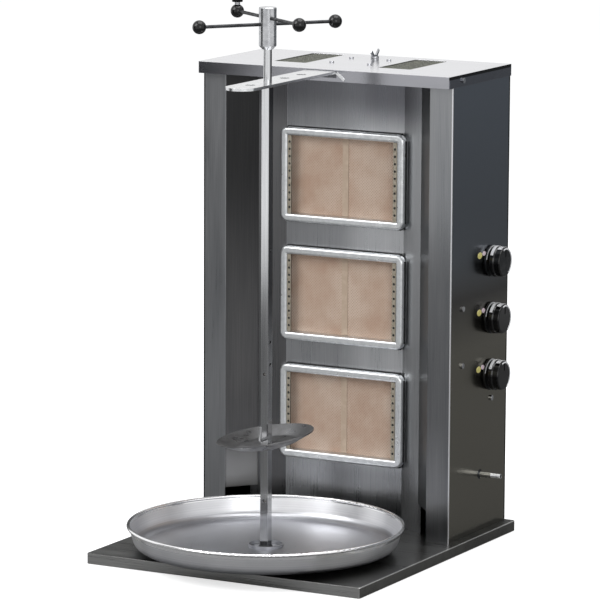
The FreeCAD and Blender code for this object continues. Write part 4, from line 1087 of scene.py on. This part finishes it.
@dataclass
class GasTaps:
    """Taps, knobs, pipes and the inlet on the right side, with two enamel marks per knob and white
    pieces that paint each knob's highlights.
    """

    mark_side_mm: float = 202.75
    mark_ahead_mm: Pair = (41.0, 27.6)
    mark_above_mm: Pair = (13.0, 14.6)
    mark_across_mm: Pair = (9.5, 7.0)
    mark_thick_mm: float = 0.5
    mark_bevel_mm: float = 0.25
    mark_stretch: float = 1.5
    # The white arc that paints the highlight over each knob's bezel
    highlight_arc_mm: Pair = (20.8, 23.0)
    highlight_arc_angles: Pair = (60.0, 168.0)
    highlight_arc_off_mm: float = 0.05
    highlight_arc_thick_mm: float = 0.25
    # The white wire that paints the highlight round each knob's face
    rim_mm: Pair = (19.0, 1.2)
    rim_angles: Pair = (-62.0, 112.0)
    rim_sunk_mm: float = 0.4
    # The bands that paint the highlight on each knob's top. Near end, far end, radius, and the
    # angles where each band starts and stops
    bands: tuple[tuple[float, float, float, float, float], ...] = (
        (0.4, 4.8, 22.65, 64.0, 150.0), (7.2, 13.8, 21.65, 64.0, 118.0),
    )
    band_thick_mm: float = 0.3

    def build(self) -> None:
        """Dress the gas parts and add the marks, and the arcs, wires and bands that paint the
        knobs' highlights.
        """
        dress(BRASS, *numbered("tap_body"), *numbered("tap_plug"), *numbered("tap_stem"))
        dress(BAKELITE, *numbered("knob"))
        dress(CHROME, "hose_nozzle")
        dress(OILED_STEEL, "inlet_fitting", "knob_bezels")
        dress(INNER_STEEL, "gas_rail", "supply_pipes")
        for number, name in enumerate(numbered("knob"), 1):
            low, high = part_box(name)
            y, z = ((low[i] + high[i]) / 2 / MM for i in (1, 2))
            self.marks(number, y, z)
            self.highlight_arc(number, y, z)
            self.highlight_rim(number, y, z, high[0] / MM)
            self.highlight_band(number, y, z, low[0] / MM)

    def marks(self, number: int, y: float, z: float) -> None:
        """A yellow and a pale pink mark on the casing, ahead of a knob and above its middle.

        Args:
            number: which of the three it is.
            y: the knob's axis, in millimetres.
            z: the knob's axis.
        """
        sideways = Matrix.Rotation(math.radians(90.0), 4, "Y")
        for index, finish in enumerate((YELLOW_ENAMEL, PINK_ENAMEL)):
            bm = bmesh.new()
            radius = self.mark_across_mm[index] / 2
            place = Matrix.Translation((
                self.mark_side_mm, y - self.mark_ahead_mm[index], z + self.mark_above_mm[index],
            ))
            shape = bmesh.ops.create_cone(
                bm, cap_ends=True, segments=32, radius1=radius,
                radius2=radius - self.mark_bevel_mm, depth=self.mark_thick_mm,
            )["verts"]
            bmesh.ops.scale(bm, vec=(1.0, self.mark_stretch, 1.0), verts=shape)
            bmesh.ops.transform(bm, matrix=place @ sideways, verts=shape)
            place_piece(f"mark_{number}_{index + 1}", bm, finish, BODY)

    def highlight_arc(self, number: int, y: float, z: float) -> None:
        """A white arc on the bezel, over the knob's front upper quarter: a painted highlight.

        Args:
            number: which of the three it is.
            y: the knob's axis, in millimetres.
            z: the knob's axis.
        """
        bm = bmesh.new()
        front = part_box("knob_bezels")[1][0] / MM
        face = front + self.highlight_arc_off_mm
        ends = [bm.verts.new((face, y + radius, z)) for radius in self.highlight_arc_mm]
        sweep(bm, (front, y, z), [bm.edges.new(ends), *ends], self.highlight_arc_angles, BAND_STEPS)
        bmesh.ops.solidify(bm, geom=bm.faces[:], thickness=self.highlight_arc_thick_mm)
        place_piece(f"highlight_arc_{number}", bm, KNOB_HIGHLIGHT_WHITE, BODY)

    def highlight_band(self, number: int, y: float, z: float, base: float) -> None:
        """White bands round a knob's skirt and grip, near its top when the tap is shut: a painted
        highlight along the knob's top.

        Args:
            number: which of the three it is.
            y: the knob's axis, in millimetres.
            z: the knob's axis.
            base: x of the skirt's back.
        """
        bm = bmesh.new()
        for near, far, radius, start, stop in self.bands:
            ends = [bm.verts.new((base + reach, y + radius, z)) for reach in (near, far)]
            sweep(bm, (base, y, z), [bm.edges.new(ends), *ends], (start, stop), BAND_STEPS)
        bmesh.ops.solidify(bm, geom=bm.faces[:], thickness=self.band_thick_mm)
        place_piece(f"highlight_band_{number}", bm, KNOB_HIGHLIGHT_WHITE, f"knob_stem_{number}")

    def highlight_rim(self, number: int, y: float, z: float, face: float) -> None:
        """A white wire let into a knob's face, over its upper and back part: a painted highlight on
        the face's rim.

        Args:
            number: which of the three it is.
            y: the knob's axis, in millimetres.
            z: the knob's axis.
            face: x of the knob's face.
        """
        radius, wire = self.rim_mm
        place = Matrix.Translation((face - self.rim_sunk_mm, y + radius, z))
        bm = bmesh.new()
        bmesh.ops.create_circle(bm, cap_ends=True, segments=12, radius=wire, matrix=place)
        sweep(bm, (face, y, z), bm.faces[:] + bm.edges[:] + bm.verts[:], self.rim_angles, RIM_STEPS)
        place_piece(f"highlight_rim_{number}", bm, KNOB_HIGHLIGHT_WHITE, f"knob_stem_{number}", smooth=True)


@dataclass
class SkewerSet:
    """Skewer, dish, pins, arm, handle and the carriage with its pan."""

    def build(self) -> None:
        """Dress the moving parts."""
        dress(SKEWER_STEEL, "skewer")
        dress(BAR_STEEL, "stop_pin", "lock_pin")
        dress(ARM_STEEL, "arm", "carriage_plate")
        dress(DISH_STEEL, "meat_dish")
        dress(TURNED_STEEL, "hub", "crank_stem", "wing_screw")
        dress(OILED_STEEL, "handle_rods", "pivot_bush")
        dress(BAKELITE, "handle_balls", "crank_grip")
        dress(PAN_ALUMINIUM, "drip_pan")


@dataclass
class Studio:
    """Pale floor, white surround, soft lamps, dark cards for the metal, and the camera."""

    camera_mm: Point = (2869.7, -5241.6, 1386.0)
    yaw: float = 28.25
    pitch: float = 9.55
    roll: float = 0.29
    focal_pixels: float = 4292.8
    image_pixels: float = 600.0
    sensor_mm: float = 36.0
    even_tone: str = "#f4f6f8"
    even_strength: float = 0.5
    floor_half: float = 30.0
    floor_tone: str = "#dedede"
    floor_glow: float = 0.66
    mat_tone: str = "#8a8a8a"
    mat_reach: Pair = (2.1, 3.8)
    lamp_target: Point = (0.0, 0.1, 0.4)

    def build(self) -> None:
        """Set up everything that isn't the object."""
        self.view()
        self.surround()
        self.floor()
        self.lamps()
        self.cards()
        self.camera()

    def view(self) -> None:
        """Plain colour handling."""
        bpy.context.scene.view_settings.view_transform = "Standard"

    def surround(self) -> None:
        """A world that is white to look at and in reflections, and a soft even light otherwise."""
        world = bpy.data.worlds.new("studio")
        bpy.context.scene.world = world
        tree = cleared(world)
        path = add(tree, "LightPath")
        seen = maths(tree, "MAXIMUM", (path, "Is Camera Ray"), (path, "Is Glossy Ray"))
        seen_all = maths(tree, "MAXIMUM", seen, (path, "Is Transmission Ray"))
        light = add(tree, "Background", {
            "Color": linear(self.even_tone), "Strength": self.even_strength,
        })
        back = add(tree, "Background", {"Color": WHITE, "Strength": 1.0})
        mix = add(tree, "MixShader", {0: seen_all, 1: (light, 0), 2: (back, 0)})
        add(tree, "OutputWorld", {"Surface": (mix, 0)})

    def floor(self) -> None:
        """A wide pale floor with soft shadows. The metal sees a grey mat on it near the grill."""
        bm = bmesh.new()
        bmesh.ops.create_grid(bm, x_segments=1, y_segments=1, size=self.floor_half)
        floor = put("floor", meshed("floor", bm))
        made = bpy.data.materials.new("pale_floor")
        tree = cleared(made)
        path = add(tree, "LightPath")
        place = add(tree, "TexCoord")
        distance = maths(tree, "LENGTH", (place, "Object"), kind="VectorMath")
        reach = remap(tree, distance, self.mat_reach)
        matt = add(tree, "BsdfDiffuse", {"Color": linear(self.floor_tone)})
        glow = add(tree, "Emission", {"Color": WHITE, "Strength": self.floor_glow})
        both = add(tree, "AddShader", {0: (matt, 0), 1: (glow, 0)})
        near = add(tree, "BsdfDiffuse", {"Color": linear(self.mat_tone)})
        around = add(tree, "MixShader", {0: reach, 1: (near, 0), 2: (both, 0)})
        mix = add(tree, "MixShader", {0: (path, "Is Camera Ray"), 1: (around, 0), 2: (both, 0)})
        add(tree, "OutputMaterial", {"Surface": (mix, 0)})
        floor.data.materials.append(made)

    def lamps(self) -> None:
        """Three large soft lamps: above left, overhead, and a low fill at the front right."""
        self.lamp("key", (-2.2, -2.6, 3.2), 2.6, 95.0)
        self.lamp("top", (0.4, 0.2, 3.4), 2.4, 60.0)
        self.lamp("fill", (2.8, -2.8, 1.6), 2.0, 26.0)

    def lamp(self, name: str, place: Point, size: float, watts: float) -> None:
        """Add a square lamp aimed at the grill's middle.

        Args:
            name: the lamp's name.
            place: where it hangs, in metres.
            size: its side, in metres.
            watts: its power.
        """
        light = bpy.data.lights.new(name, "AREA")
        light.size = size
        light.energy = watts
        aim = Vector(self.lamp_target) - Vector(place)
        turn = aim.to_track_quat("-Z", "Y").to_matrix().to_4x4()
        put(name, light).matrix_world = Matrix.Translation(place) @ turn

    def cards(self) -> None:
        """Grey cards beside the set that only the metal sees, to give it contrast."""
        self.card("card_back_right", (1.5, 2.2, 0.5), (0.88, -0.47, 0.0), 3.4, 3.0, "#7a7d80")
        self.card("card_back_left", (-0.9, 1.0, 0.2), ALONG_X, 1.7, 0.7, "#4c4d4e")
        self.card("card_left", (-1.25, -0.75, 0.6), ALONG_X, 1.3, 0.8, "#3c3d3f")

    def card(self, name: str, place: Point, along: Point, width: float, height: float,
             tone: str) -> None:
        """Stand up a flat card.

        Args:
            name: the card's name.
            place: its centre, in metres.
            along: the level direction of its width.
            width: its width, in metres.
            height: its height, in metres.
            tone: its colour.
        """
        side = Vector(along).normalized()
        turn = Matrix((side, UP, side.cross(UP))).transposed()
        bm = bmesh.new()
        bmesh.ops.create_grid(bm, x_segments=1, y_segments=1, size=0.5)
        bmesh.ops.scale(bm, vec=(width, height, 1.0), verts=bm.verts)
        bmesh.ops.rotate(bm, matrix=turn, verts=bm.verts)
        bmesh.ops.translate(bm, vec=place, verts=bm.verts)
        card = put(name, meshed(name, bm))
        made = bpy.data.materials.new(name)
        tree = cleared(made)
        glow = add(tree, "Emission", {"Color": linear(tone), "Strength": 1.0})
        add(tree, "OutputMaterial", {"Surface": (glow, 0)})
        card.data.materials.append(made)
        card.visible_camera = False
        card.visible_diffuse = False
        card.visible_shadow = False

    def camera(self) -> None:
        """Place the camera where the photograph was taken."""
        yaw = math.radians(self.yaw)
        pitch = math.radians(self.pitch)
        forward = Vector((
            -math.sin(yaw) * math.cos(pitch), math.cos(yaw) * math.cos(pitch), -math.sin(pitch),
        ))
        data = bpy.data.cameras.new("camera")
        data.sensor_width = self.sensor_mm
        data.lens = self.focal_pixels * self.sensor_mm / self.image_pixels
        camera = put("camera", data)
        level = forward.to_track_quat("-Z", "Y").to_matrix().to_4x4()
        lean = Matrix.Rotation(math.radians(self.roll), 4, "Z")
        camera.matrix_world = Matrix.Translation(Vector(self.camera_mm) * MM) @ level @ lean
        bpy.context.scene.camera = camera


def main() -> None:
    """Build the grill's looks and the studio, and report each part."""
    logging.basicConfig(level=logging.INFO, format="%(message)s")
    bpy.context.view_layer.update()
    for part in (SteelBody(), Burners(), GasTaps(), SkewerSet(), Studio()):
        part.build()
        LOG.info("built %s", type(part).__name__)


if __name__ == "__main__":
    main()
